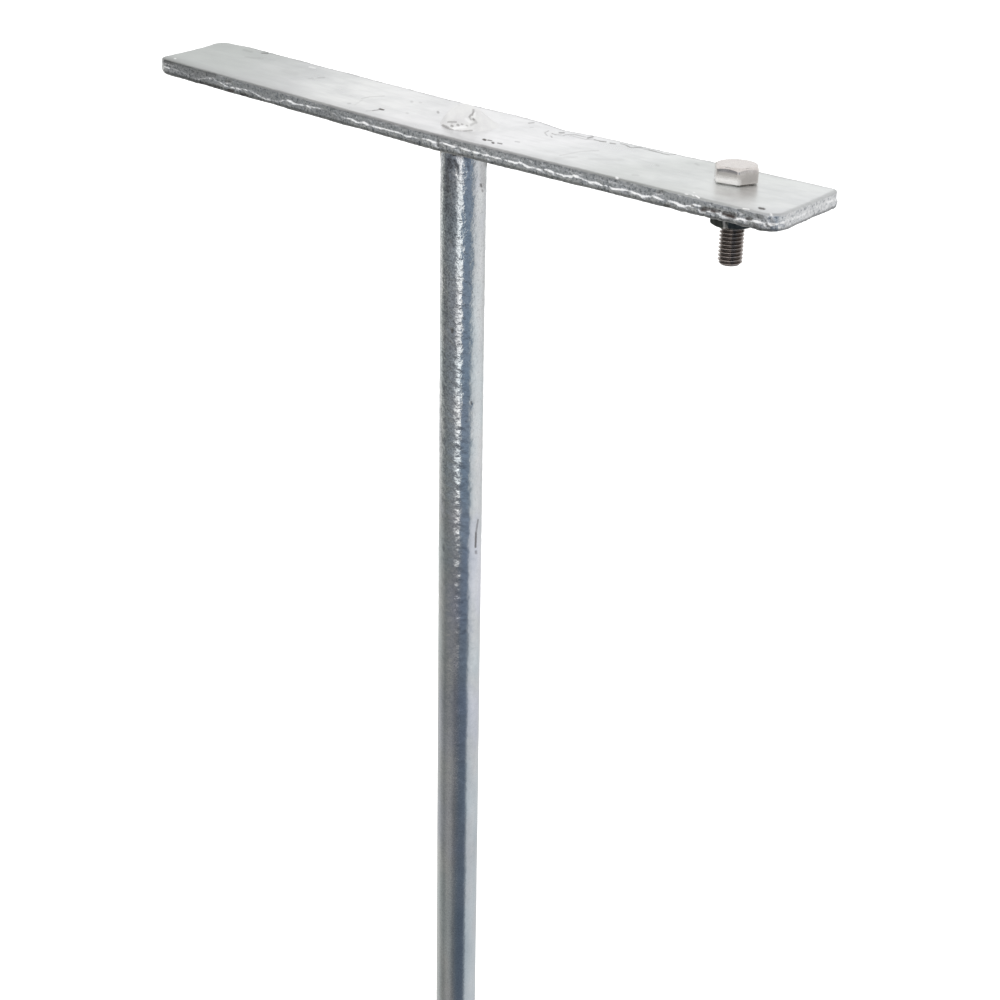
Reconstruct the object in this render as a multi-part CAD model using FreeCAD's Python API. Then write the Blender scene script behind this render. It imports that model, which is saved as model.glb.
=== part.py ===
import FreeCAD, Part
import math
import os

# Ground rod: a pointed round shaft with a flat crossbar welded across its top and a bolt for
# the earth cable near one end of the crossbar. Millimetres.
# The origin is where the shaft's axis meets the crossbar's underside, which is the soil line
# when the rod is driven home. +Z runs up the shaft and +X runs along the crossbar to the bolt.

# Shaft, a round bar with a plain point
overall_length = 1000.0
shaft_diameter = 16.0
point_length = 34.0
point_end_diameter = 3.0
point_end_round = 1.0
spigot_diameter = 14.6
spigot_stand = 2.5

# Crossbar, a flat bar with its ends sheared off at a slant and its corners rounded off.
# Its front is the side at -Y. Its length is measured along its centre line.
crossbar_length = 289.4
crossbar_width = 40.0
crossbar_thickness = 5.2
crossbar_shift = -2.5
left_end_slant = 13.0
right_end_slant = 7.5
front_left_corner_radius = 7.5
front_right_corner_radius = 5.5
back_right_corner_radius = 2.0
back_left_corner_radius = 5.0
edge_radius = 0.9
left_arm_rise = 2.3
right_arm_rise = -0.8
bend_radius = 900.0
spigot_clearance = 0.1

# Welds: a bead round the shaft under the crossbar, and a dome over the spigot's end on top
bead_leg_down = 10.0
bead_leg_out = 4.5
bead_hollow = 1.0
plug_diameter = 21.0
plug_edge_height = 0.4
plug_crown = 6.8
plug_shoulder_radius = 4.0
plug_shift_along = 1.5
plug_shift_across = -1.5

# Cable bolt, M8, with a spring washer and a nut under the crossbar
bolt_from_end = 31.0
bolt_off_centre = 5.5
bolt_hole_diameter = 9.0
bolt_length = 26.5
thread_diameter = 7.9
thread_pitch_diameter = 7.19
thread_end_chamfer = 1.0
thread_run_in = 0.4
hex_across_flats = 13.0
hex_across_corners = 14.7
hex_chamfer_angle = 30.0
hex_chamfer_share = 0.95
head_height = 5.5
head_turn = 10.8
washer_face_height = 0.3
washer_face_diameter = 11.8
nut_height = 6.5
nut_turn = 44.0
nut_countersink_diameter = 8.6
thread_clearance = 0.02
spring_washer_inner_diameter = 8.5
spring_washer_outer_diameter = 14.8
spring_washer_thickness = 2.1
spring_washer_slit = 1.2
spring_washer_slit_lean = 20.0
spring_washer_turn = 200.0

# Sizes that follow from the ones above
z_axis = FreeCAD.Vector(0, 0, 1)
shaft_radius = shaft_diameter / 2
spigot_radius = spigot_diameter / 2
spigot_top = crossbar_thickness + spigot_stand
point_z = crossbar_thickness - overall_length
spigot_hole_radius = spigot_radius + spigot_clearance / 2
left_arm = crossbar_length / 2 - crossbar_shift
right_arm = crossbar_length / 2 + crossbar_shift
bead_reach = 2 * crossbar_thickness
bolt_x = right_arm - bolt_from_end
nut_top = -crossbar_thickness - spring_washer_thickness
nut_bottom = nut_top - nut_height


def revolved(edges):
    """Solid of revolution about Z from the edges of a closed outline in the XZ plane."""
    face = Part.Face(Part.Wire(edges))
    return face.revolve(FreeCAD.Vector(0, 0, 0), z_axis, 360)


def at(radius, height):
    """Point of an outline in the XZ plane."""
    return FreeCAD.Vector(radius, 0, height)


def line(start, end):
    """Straight edge between two points."""
    return Part.LineSegment(start, end).toShape()


def arc(start, middle, end):
    """Round edge through three points."""
    return Part.Arc(start, middle, end).toShape()


def outline(points):
    """Edges of a closed polygon."""
    return [line(a, b) for a, b in zip(points, points[1:] + points[:1])]


def hexagon_prism(across_flats, height):
    """Upright hexagonal prism that stands on the XY plane, corners on the X axis."""
    radius = across_flats / math.sqrt(3)
    corners = []
    for step in range(6):
        angle = math.radians(60 * step)
        corners.append(FreeCAD.Vector(radius * math.cos(angle), radius * math.sin(angle), 0))
    return Part.Face(Part.Wire(outline(corners))).extrude(FreeCAD.Vector(0, 0, height))


def chamfer_envelope(height, chamfer_below):
    """Round body that cuts a hexagon's corners at a slant on top, and below too if asked."""
    flat_radius = hex_across_flats / 2 * hex_chamfer_share
    side_radius = hex_across_corners / 2
    drop = (side_radius - flat_radius) * math.tan(math.radians(hex_chamfer_angle))
    points = [at(0, height), at(flat_radius, height), at(side_radius, height - drop)]
    if chamfer_below:
        points += [at(side_radius, drop), at(flat_radius, 0), at(0, 0)]
    else:
        points += [at(side_radius, 0), at(0, 0)]
    return revolved(outline(points))


def turned(shape, angle, height):
    """Copy of a shape turned about Z and lifted."""
    copy = shape.copy()
    copy.rotate(FreeCAD.Vector(0, 0, 0), z_axis, angle)
    copy.translate(FreeCAD.Vector(0, 0, height))
    return copy


def on_right_arm(shape):
    """Place a shape that was made about the bolt's axis, with Z 0 on the crossbar's top."""
    rise = math.radians(right_arm_rise)
    copy = shape.copy()
    copy.rotate(FreeCAD.Vector(0, 0, 0), FreeCAD.Vector(0, 1, 0), -right_arm_rise)
    top = crossbar_thickness + bolt_x * math.tan(rise)
    copy.translate(FreeCAD.Vector(bolt_x, bolt_off_centre, top))
    return copy


def make_shaft():
    """Round bar with a point below and a spigot above, tapered where the bead melts into it."""
    end_radius = point_end_diameter / 2
    points = [
        at(0, point_z),
        at(end_radius, point_z),
        at(shaft_radius, point_z + point_length),
        at(shaft_radius, -bead_leg_down),
        at(spigot_radius, 0),
        at(spigot_radius, spigot_top),
        at(0, spigot_top),
    ]
    bar = revolved(outline(points))
    rim = [e for e in bar.Edges if abs(e.BoundBox.ZMax - point_z) < 1e-6 and e.Length > end_radius]
    return bar.makeFillet(point_end_round, rim)


def bar_side_edges():
    """Side outline of the crossbar: two straight arms joined by a long bend at the shaft."""
    left = math.radians(left_arm_rise)
    right = math.radians(right_arm_rise)
    left_up = FreeCAD.Vector(math.sin(left), 0, math.cos(left))
    right_up = FreeCAD.Vector(-math.sin(right), 0, math.cos(right))
    middle_up = (left_up + right_up).normalize()
    tangent = bend_radius * math.tan((left + right) / 2)
    knee = at(0, crossbar_thickness)
    bend_start = knee + FreeCAD.Vector(-math.cos(left), 0, math.sin(left)) * tangent
    bend_end = knee + FreeCAD.Vector(math.cos(right), 0, math.sin(right)) * tangent
    centre = bend_start + left_up * bend_radius
    bend_middle = centre - middle_up * bend_radius
    far_left = knee + FreeCAD.Vector(-1, 0, math.tan(left)) * (left_arm + crossbar_width)
    far_right = knee + FreeCAD.Vector(1, 0, math.tan(right)) * (right_arm + crossbar_width)
    top = [far_left, bend_start, bend_middle, bend_end, far_right]
    ups = [left_up, left_up, middle_up, right_up, right_up]
    under = [point - up * crossbar_thickness for point, up in zip(top, ups)]
    edges = []
    for row in (top, under):
        edges += [line(row[0], row[1]), arc(row[1], row[2], row[3]), line(row[3], row[4])]
    edges += [line(top[0], under[0]), line(top[4], under[4])]
    return Part.__sortEdges__(edges)


def bar_plan():
    """Top outline of the crossbar, with slanted ends and round corners, as a deep block."""
    depth = crossbar_length
    half = crossbar_width / 2
    left_lean = half * math.tan(math.radians(left_end_slant))
    right_lean = half * math.tan(math.radians(right_end_slant))
    corners = [
        FreeCAD.Vector(left_lean - left_arm, -half, -depth / 2),
        FreeCAD.Vector(right_arm + right_lean, -half, -depth / 2),
        FreeCAD.Vector(right_arm - right_lean, half, -depth / 2),
        FreeCAD.Vector(-left_arm - left_lean, half, -depth / 2),
    ]
    radii = [
        front_left_corner_radius,
        front_right_corner_radius,
        back_right_corner_radius,
        back_left_corner_radius,
    ]
    block = Part.Face(Part.Wire(outline(corners))).extrude(FreeCAD.Vector(0, 0, depth))
    for corner, radius in zip(corners, radii):
        upright = [e for e in block.Edges if e.BoundBox.ZLength > depth - 1e-3]
        nearest = min(upright, key=lambda e: e.CenterOfMass.distanceToLine(corner, z_axis))
        block = block.makeFillet(radius, [nearest])
    return block


def make_bar_blank():
    """Crossbar before it is drilled, with its edges rolled round."""
    side = Part.Face(Part.Wire(bar_side_edges()))
    side.translate(FreeCAD.Vector(0, -crossbar_width, 0))
    bar = side.extrude(FreeCAD.Vector(0, 2 * crossbar_width, 0)).common(bar_plan()).Solids[0]
    rims = []
    for edge in bar.Edges:
        box = edge.BoundBox
        upright = box.XLength < 1e-3 and box.YLength < 1e-3
        across = abs(box.XLength) < 1 and box.YLength > crossbar_width - 1
        at_end = box.XMin < -left_arm + 1 or box.XMax > right_arm - 1
        round_upright = box.ZLength > crossbar_thickness * 0.9 and box.XLength < 1e-3
        if upright or round_upright or (across and not at_end):
            continue
        rims.append(edge)
    return bar.makeFillet(edge_radius, rims)


def make_crossbar(blank):
    """Crossbar with the spigot's hole and the bolt's hole."""
    deep = 4 * crossbar_thickness
    spigot_hole = Part.makeCylinder(spigot_hole_radius, deep, at(0, -deep / 2))
    bolt_hole = Part.makeCylinder(bolt_hole_diameter / 2, deep, at(0, -deep / 2))
    return blank.cut(spigot_hole).cut(on_right_arm(bolt_hole))


def make_fillet_weld(blank):
    """Hollow-faced bead round the shaft, cut to the crossbar's underside."""
    toe = at(shaft_radius, -bead_leg_down)
    edge = at(shaft_radius + bead_leg_out, 0)
    halfway = (toe + edge) * 0.5
    sunk = halfway + at(-bead_hollow, bead_hollow)
    above = at(shaft_radius + bead_leg_out, bead_reach)
    inner = at(spigot_radius, bead_reach)
    root = at(spigot_radius, 0)
    edges = [line(root, toe), arc(toe, sunk, edge), line(edge, above), line(above, inner)]
    edges.append(line(inner, root))
    ring = revolved(edges).cut(blank)
    return min(ring.Solids, key=lambda solid: solid.BoundBox.ZMin)


def make_plug_weld(blank):
    """Domed weld over the spigot's end, a little off its axis: a flat crown and round shoulders."""
    radius = plug_diameter / 2
    low = crossbar_thickness / 2
    rim_z = crossbar_thickness + plug_edge_height
    crown_z = crossbar_thickness + plug_crown
    rise = crown_z - rim_z
    shoulder = plug_shoulder_radius
    shoulder_centre = at(radius - shoulder, rim_z)
    crown_radius = ((radius - shoulder) ** 2 + rise**2 - shoulder**2) / (2 * (rise - shoulder))
    crown_centre = at(0, crown_z - crown_radius)
    outward = (shoulder_centre - crown_centre).normalize()
    join = crown_centre + outward * crown_radius
    crown_middle = crown_centre + (outward + z_axis).normalize() * crown_radius
    shoulder_middle = shoulder_centre + (outward + at(1, 0)).normalize() * shoulder
    edges = [
        line(at(0, crown_z), at(0, low)),
        line(at(0, low), at(radius, low)),
        line(at(radius, low), at(radius, rim_z)),
        arc(at(radius, rim_z), shoulder_middle, join),
        arc(join, crown_middle, at(0, crown_z)),
    ]
    plug = revolved(edges)
    plug.translate(FreeCAD.Vector(plug_shift_along, plug_shift_across, 0))
    plug = plug.cut(blank).cut(Part.makeCylinder(spigot_radius, spigot_top))
    return max(plug.Solids, key=lambda solid: solid.Volume)


def make_hex_bolt():
    """Hexagon bolt. Inside the nut, and just past it, its thread is drawn at the pitch diameter."""
    head = hexagon_prism(hex_across_flats, head_height).common(chamfer_envelope(head_height, False))
    head = turned(head, head_turn, 0)
    step = Part.makeCylinder(hex_across_corners, washer_face_height)
    step = step.cut(Part.makeCylinder(washer_face_diameter / 2, washer_face_height))
    head = head.cut(step)
    thread = thread_diameter / 2
    pitch = thread_pitch_diameter / 2
    points = [
        at(0, head_height / 2),
        at(thread, head_height / 2),
        at(thread, nut_top),
        at(pitch, nut_top),
        at(pitch, nut_bottom - thread_run_in),
        at(thread, nut_bottom - thread_run_in),
        at(thread, thread_end_chamfer - bolt_length),
        at(thread - thread_end_chamfer, -bolt_length),
        at(0, -bolt_length),
    ]
    return on_right_arm(head.fuse(revolved(outline(points))).removeSplitter())


def make_hex_nut():
    """Hexagon nut, chamfered on both faces and countersunk at both ends of its bore."""
    nut = hexagon_prism(hex_across_flats, nut_height).common(chamfer_envelope(nut_height, True))
    bore = (thread_pitch_diameter + thread_clearance) / 2
    mouth = nut_countersink_diameter / 2
    slope = mouth - bore
    points = [
        at(0, 0),
        at(mouth, 0),
        at(bore, slope),
        at(bore, nut_height - slope),
        at(mouth, nut_height),
        at(0, nut_height),
    ]
    nut = nut.cut(revolved(outline(points)))
    return on_right_arm(turned(nut, nut_turn, nut_bottom))


def make_spring_washer():
    """Split ring, pressed flat, with a leaning slit."""
    outer = spring_washer_outer_diameter / 2
    ring = Part.makeCylinder(outer, spring_washer_thickness)
    ring = ring.cut(Part.makeCylinder(spring_washer_inner_diameter / 2, spring_washer_thickness))
    height = 3 * spring_washer_thickness
    start = FreeCAD.Vector(0, -spring_washer_slit / 2, -spring_washer_thickness)
    slit = Part.makeBox(2 * outer, spring_washer_slit, height, start)
    middle = FreeCAD.Vector(0, 0, spring_washer_thickness / 2)
    slit.rotate(middle, FreeCAD.Vector(1, 0, 0), spring_washer_slit_lean)
    ring = ring.cut(slit)
    return on_right_arm(turned(ring, spring_washer_turn, nut_top))


def main():
    """Make every piece and write one STEP file for each."""
    blank = make_bar_blank()
    pieces = {
        "shaft": make_shaft(),
        "crossbar": make_crossbar(blank),
        "fillet_weld": make_fillet_weld(blank),
        "plug_weld": make_plug_weld(blank),
        "hex_bolt": make_hex_bolt(),
        "spring_washer": make_spring_washer(),
        "hex_nut": make_hex_nut(),
    }
    os.makedirs("parts", exist_ok=True)
    for name, shape in pieces.items():
        shape.exportStep(os.path.join("parts", name + ".step"))
        print(name, "solids", len(shape.Solids), "valid", shape.isValid(), "mm3", round(shape.Volume, 1))


main()
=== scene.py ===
import math

import bmesh
import bpy
import numpy as np
from mathutils import Matrix, Vector, noise


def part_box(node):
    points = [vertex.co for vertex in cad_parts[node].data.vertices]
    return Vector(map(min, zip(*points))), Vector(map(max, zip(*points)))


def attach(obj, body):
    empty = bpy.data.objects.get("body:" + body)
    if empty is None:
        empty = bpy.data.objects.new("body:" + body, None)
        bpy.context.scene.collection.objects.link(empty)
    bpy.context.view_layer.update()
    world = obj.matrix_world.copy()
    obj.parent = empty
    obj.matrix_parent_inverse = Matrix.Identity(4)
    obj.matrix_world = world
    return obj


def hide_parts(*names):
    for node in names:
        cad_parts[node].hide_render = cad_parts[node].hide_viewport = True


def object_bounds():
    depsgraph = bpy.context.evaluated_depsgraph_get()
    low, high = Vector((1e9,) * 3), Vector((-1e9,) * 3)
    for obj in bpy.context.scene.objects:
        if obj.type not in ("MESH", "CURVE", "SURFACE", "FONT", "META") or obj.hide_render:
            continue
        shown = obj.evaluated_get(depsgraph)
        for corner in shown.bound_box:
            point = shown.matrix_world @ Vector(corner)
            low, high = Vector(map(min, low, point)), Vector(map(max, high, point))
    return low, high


# Ground rod: hot-dip galvanised shaft and crossbar with a stainless cable bolt. Metres, row frame.
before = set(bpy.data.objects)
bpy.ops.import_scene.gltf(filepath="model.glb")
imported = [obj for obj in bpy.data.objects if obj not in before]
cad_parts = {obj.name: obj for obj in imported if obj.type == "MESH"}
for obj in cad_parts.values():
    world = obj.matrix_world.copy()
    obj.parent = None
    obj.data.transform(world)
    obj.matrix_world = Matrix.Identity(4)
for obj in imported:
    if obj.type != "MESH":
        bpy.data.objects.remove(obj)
cad_low, cad_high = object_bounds()

MM = 0.001
BODY = "root"

# Camera, fitted to the photograph's 1000 x 1000 frame
CAMERA_PLACE = Vector((463.4, -485.1, 146.7)) * MM
CAMERA_YAW = -42.44
CAMERA_PITCH = 22.74
CAMERA_ROLL = 1.02
CAMERA_LENS = 70.84
CAMERA_SENSOR = 36.0
PHOTO_SIZE = 1000.0

# Crossbar, sizes as in the solid. Its front is the side at -Y.
BAR_LENGTH = 289.4 * MM
BAR_SHIFT = -2.5 * MM
LEFT_ARM = BAR_LENGTH / 2 - BAR_SHIFT
RIGHT_ARM = BAR_LENGTH / 2 + BAR_SHIFT
BAR_HALF_WIDTH = 20 * MM
BAR_THICKNESS = 5.2 * MM
LEFT_ARM_RISE = 2.3
RIGHT_ARM_RISE = -0.8
BEND_RADIUS = 900 * MM
# Sides of its plan in turn, front, right, back and left: direction that the side faces in
# degrees, a point that it passes through, and the radius of the corner after it
BAR_SIDES = [
    (-90.0, (0.0, -BAR_HALF_WIDTH), 5.5 * MM),
    (7.5, (RIGHT_ARM, 0.0), 2.0 * MM),
    (90.0, (0.0, BAR_HALF_WIDTH), 5.0 * MM),
    (193.0, (-LEFT_ARM, 0.0), 7.5 * MM),
]
TOP_ROLL = 0.6 * MM
UNDER_ROLL = 0.9 * MM

# Shaft
SHAFT_RADIUS = 8.0 * MM
SPIGOT_RADIUS = 7.3 * MM
SPIGOT_STAND = 2.5 * MM
SPIGOT_END_RADIUS = 5.0 * MM
SPIGOT_EDGE = BAR_THICKNESS - 0.2 * MM
SHAFT_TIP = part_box("shaft")[0].z
POINT_LENGTH = 34 * MM
POINT_END_RADIUS = 1.5 * MM
POINT_END_ROUND = 1.0 * MM
POINT_FLARE = 0.3 * MM

# Welds: the bead under the crossbar, and the dome on top
BEAD_DOWN = 10 * MM
BEAD_OUT = 4.5 * MM
DOME_CENTRE = (1.5 * MM, -1.5 * MM)
DOME_HEIGHT = 7.0 * MM

# Cable bolt, M8
BOLT_FROM_END = 31.0 * MM
BOLT_OFF_CENTRE = 5.5 * MM
BOLT_LENGTH = 26.5 * MM
THREAD_OUTER = 3.95 * MM
THREAD_ROOT = 3.24 * MM
THREAD_PITCH = 1.25 * MM
THREAD_END_CHAMFER = 1.0 * MM
HEX_HALF_FLATS = 6.5 * MM
HEX_HALF_CORNERS = 7.35 * MM
HEX_FLAT_RADIUS = 6.17 * MM
HEX_CHAMFER = 30.0
HEX_BEVEL = 0.34 * MM
HEAD_HEIGHT = 5.5 * MM
HEAD_TURN = 10.8
WASHER_FACE_HEIGHT = 0.3 * MM
WASHER_FACE_RADIUS = 5.9 * MM
NUT_HEIGHT = 6.5 * MM
NUT_TURN = 53.0
NUT_MOUTH = 4.3 * MM
THREAD_GAP = 0.02 * MM
WASHER_INNER = 4.25 * MM
WASHER_OUTER = 7.4 * MM
WASHER_THICKNESS = 2.1 * MM
WASHER_SLIT = 1.2 * MM
WASHER_LEAN = 20.0
WASHER_TURN = 200.0
WASHER_BEVEL = 0.25 * MM
NUT_TOP = -BAR_THICKNESS - WASHER_THICKNESS
NUT_BOTTOM = NUT_TOP - NUT_HEIGHT


def bumps(points, size, seed):
    """Smooth noise at each point, about -1 to 1, with bumps about that size across."""
    shift = Vector((7.3 * seed, -3.1 * seed, 5.7 * seed))
    return np.array([noise.noise(Vector(point) / size + shift) for point in points.tolist()])


def layered(points, layers):
    """Sum of layers of bumps, each given by its strength, its size in millimetres and its seed."""
    return sum(strength * bumps(points, size * MM, seed) for strength, size, seed in layers)


def soft_step(value, start, end):
    """Rise from 0 at start to 1 at end, smooth at both."""
    share = np.clip((value - start) / (end - start), 0, 1)
    return share * share * (3 - 2 * share)


def camera_axes():
    """Right, up and forward directions of the camera."""
    yaw = math.radians(CAMERA_YAW)
    pitch = math.radians(CAMERA_PITCH)
    roll = math.radians(CAMERA_ROLL)
    forward = Vector((math.cos(pitch) * math.sin(yaw), math.cos(pitch) * math.cos(yaw), -math.sin(pitch)))
    level_right = forward.cross(Vector((0, 0, 1))).normalized()
    level_up = level_right.cross(forward)
    right = level_right * math.cos(roll) + level_up * math.sin(roll)
    up = level_up * math.cos(roll) - level_right * math.sin(roll)
    return right, up, forward


FOCAL = PHOTO_SIZE * CAMERA_LENS / CAMERA_SENSOR
# Distances from the camera between which the object is looked for, and the step
NEAR_SIGHT = 0.55
FAR_SIGHT = 0.95
SIGHT_STEP = 0.1 * MM


def seen_place(pixel, inside):
    """First point inside a form that the photograph shows at one of its pixels, and its distance."""
    right, up, forward = camera_axes()
    across = (pixel[0] - PHOTO_SIZE / 2) / FOCAL
    down = (pixel[1] - PHOTO_SIZE / 2) / FOCAL
    way = (forward + right * across - up * down).normalized()
    distances = np.arange(NEAR_SIGHT, FAR_SIGHT, SIGHT_STEP)
    points = np.array(CAMERA_PLACE) + distances[:, None] * np.array(way)
    first = int(np.argmax(inside(points)))
    return points[first], distances[first]


# Marks are measured across the line of sight, where depth counts for little
MARK_DEPTH_SHARE = 0.15
MARK_AXES = np.array(camera_axes()) * np.array([[1], [1], [MARK_DEPTH_SHARE]])
# A mark is full up to the first share of its half width and gone at the second
MARK_CORE = 0.4
MARK_RIM = 1.5
SHORTEST_MARK = 1e-12


def placed_marks(marks, inside):
    """Marks given in the photograph's pixels, put on the form that carries them."""
    placed = []
    for start, end, half_width, amount in marks:
        first, distance = seen_place(start, inside)
        last = seen_place(end, inside)[0]
        placed.append((MARK_AXES @ first, MARK_AXES @ last, half_width * distance / FOCAL, amount))
    return placed


def marks_amount(points, placed):
    """Amount of marks at each point."""
    seen = points @ MARK_AXES.T
    total = np.zeros(len(points))
    for start, end, half_width, amount in placed:
        direction = end - start
        length = max(float(direction @ direction), SHORTEST_MARK)
        share = np.clip((seen - start) @ direction / length, 0, 1)
        distance = np.linalg.norm(seen - start - share[:, None] * direction, axis=1)
        mark = 1 - soft_step(distance, half_width * MARK_CORE, half_width * MARK_RIM)
        total = np.maximum(total, amount * mark)
    return total


def grid_faces(rows, columns, loop_rows=False):
    """Quads of a grid whose rows are closed rings, and whose last row may join the first."""
    faces = []
    for row in range(rows if loop_rows else rows - 1):
        below = (row + 1) % rows
        for column in range(columns):
            right = (column + 1) % columns
            faces.append((row * columns + column, row * columns + right,
                          below * columns + right, below * columns + column))
    return faces


def polar(radius, angle, height):
    """Point at a radius, a direction in radians and a height."""
    return Vector((radius * math.cos(angle), radius * math.sin(angle), height))


def ring_points(rows, columns):
    """Rings of points about the Z axis from rows of radius and height."""
    angles = [2 * math.pi * column / columns for column in range(columns)]
    return np.array([polar(radius, angle, height) for radius, height in rows for angle in angles])


def add_object(name, data):
    """Object with that data, linked to the scene."""
    made = bpy.data.objects.new(name, data)
    bpy.context.scene.collection.objects.link(made)
    return made


# Points this close are one, and edges this short are dropped
MERGE_REACH = 0.002 * MM
SHORTEST_EDGE = 0.001 * MM


def add_piece(name, points, faces, node):
    """Object from points and faces, cleaned, smooth, riding the body in place of its solid."""
    mesh = bpy.data.meshes.new(name)
    mesh.from_pydata([tuple(point) for point in points], [], faces)
    work = bmesh.new()
    work.from_mesh(mesh)
    bmesh.ops.remove_doubles(work, verts=work.verts, dist=MERGE_REACH)
    bmesh.ops.dissolve_degenerate(work, edges=work.edges, dist=SHORTEST_EDGE)
    bmesh.ops.recalc_face_normals(work, faces=work.faces)
    work.to_mesh(mesh)
    work.free()
    mesh.shade_smooth()
    piece = add_object(name, mesh)
    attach(piece, BODY)
    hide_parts(node)
    return piece


def vertex_array(mesh):
    """The mesh's points as an array."""
    values = np.zeros(len(mesh.vertices) * 3, np.float32)
    mesh.vertices.foreach_get("co", values)
    return values.reshape(-1, 3).astype(float)


def store(mesh, name, values):
    """Keep one number for each point on the mesh, for its material."""
    attribute = mesh.attributes.new(name, "FLOAT", "POINT")
    attribute.data.foreach_set("value", np.asarray(values, np.float32))


# Crossbar shape

# Steps round its edge, and insets of its rings over and under it in millimetres
LONG_STEPS = 690
END_STEPS = 74
CORNER_STEP = 0.6 * MM
CORNER_LEAST_STEPS = 4
TOP_INSETS = [0.6, 1.0, 1.5, 2.2, 3.0, 4.0, 5.0, 6.0, 7.2, 8.5, 10.0, 11.6, 13.2, 14.8, 16.5, 18.2,
              20.0]
UNDER_INSETS = [0.9, 1.5, 2.4, 4.2, 7.0, 10.5, 15.0, 20.0]
ROLL_STEPS = 5
WALL_STEPS = 22

# Zinc run along the lower half of the edges: where it starts, as a share of the thickness, how far
# it stands out and how it falls back towards the foot
RUN_START = 0.47
RUN_SWING = 0.20
RUN_DEPTH = 0.44 * MM
RUN_RISE = 0.27 * MM
RUN_FALL = 0.5
RUN_FALL_FROM = 0.6 * MM
RUN_STRETCH = np.array([1, 1, 0.2])
RUN_SWINGS = [(0.8, 14, 3), (0.6, 4.5, 4), (0.3, 2, 8)]
CREST_SWINGS = [(0.16, 1.4, 15)]
# How strongly it stands out away from the front side, and how that changes along it
LOOSE_STRENGTH = 0.45
LOOSE_SWINGS = [(0.5, 7, 5), (0.4, 2.4, 6)]
# On the front side its own strength holds, broken up along it
CREST_STRENGTH = 0.72
CREST_BREAKS = [(0.95, 3.1, 16), (0.65, 1.2, 17)]
RUN_LIMITS = (0.02, 1.4)
# Distances from the crest between which the shelf's painted highlight fades
SHELF_REACH = (0.15 * MM, 0.75 * MM)
# Between which distances from the middle line a point comes to belong to the front side
FRONT_FADE = (11 * MM, 17 * MM)
# Crest of the run on the front side: pixel of the photograph, and how strongly it stands out
RUN_CREST = [
    (160, 65, 0.3), (166, 67.5, 0.9), (173, 68.8, 0.5), (182, 72, 0.2), (190, 77, 0.25), (199, 79.3, 0.5),
    (206, 78.2, 0.55), (213, 79, 0.4), (221, 83, 0.2), (229, 87.5, 0.5), (236, 87.7, 1.0), (240, 89, 0.5),
    (248, 90, 0.6), (256, 94, 0.55), (266, 99, 0.4), (275, 101, 0.3), (281, 101, 0.5), (286, 99.2, 0.9),
    (291, 101.5, 1.0), (296, 104, 0.6), (308, 106, 0.65), (318, 107.8, 0.5), (328, 110, 0.25),
    (338, 115.5, 0.3), (345, 118, 0.5), (351, 118.8, 0.75), (358, 122.5, 0.5), (364, 122.3, 1.0),
    (370, 125, 0.7), (378, 127.5, 0.9), (388, 130, 0.65), (397, 132, 0.9), (402, 133.5, 0.8),
    (407, 136, 1.0), (413, 137, 0.3), (420, 138.3, 0.6), (428, 139.7, 0.9), (434, 142, 1.0),
    (438, 143, 0.15), (442, 142.5, 0.8), (450, 145.5, 0.85), (456, 147.5, 0.6), (463, 149, 0.8),
    (470, 151.2, 0.8), (476, 152.2, 1.0), (481, 153.8, 0.6), (487, 155.3, 1.0), (493, 157, 0.6),
    (501, 158.5, 1.0), (507, 160.3, 0.6), (515, 162.7, 1.0), (520, 162.2, 0.9), (528, 166.5, 1.0),
    (531, 166.8, 0.5), (540, 169.5, 1.0), (546, 169.6, 0.7), (552, 171.7, 0.9), (558, 173.8, 0.7),
    (565, 175.5, 1.0), (571, 176.2, 0.8), (574, 175, 0.9), (583, 179, 1.0), (590, 182.3, 1.0),
    (596, 182.6, 0.9), (602, 185.8, 0.7), (608, 185.5, 1.0), (614, 189, 1.0), (622, 189.5, 1.0),
    (629, 190.7, 0.8), (641, 195.2, 1.0), (648, 196.7, 0.9), (651, 194.5, 0.5), (656, 197, 0.8),
    (662, 199.5, 0.9), (671, 201, 0.5), (677, 203, 1.0), (684, 206, 1.0), (689, 206, 0.4),
    (695, 204.3, 0.8), (704, 207.5, 0.3), (712, 212.8, 0.8), (718, 213.9, 0.6), (724, 217.5, 0.2),
    (731, 219, 0.4), (741, 218.5, 0.9), (746, 221.5, 0.3), (755, 220.7, 0.8), (762, 223, 0.3),
    (770, 225.8, 0.7), (780, 226, 0.1),
]

# How far the lower edge hangs down with zinc, and how far the back edge stands up, along X
LOWER_HANG = [(-150, 0.60), (-60, 0.50), (-20, 0.30), (20, 0.35), (100, 0.30), (150, 0.10)]
BACK_RISE = [(-150, 0.55), (-100, 0.50), (-30, 0.45), (-6, 0.75), (6, 0.95), (17, 0.60), (29, -0.45),
             (41, 0.05), (80, 0.05), (104, 0.40), (150, 0.35)]

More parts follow.
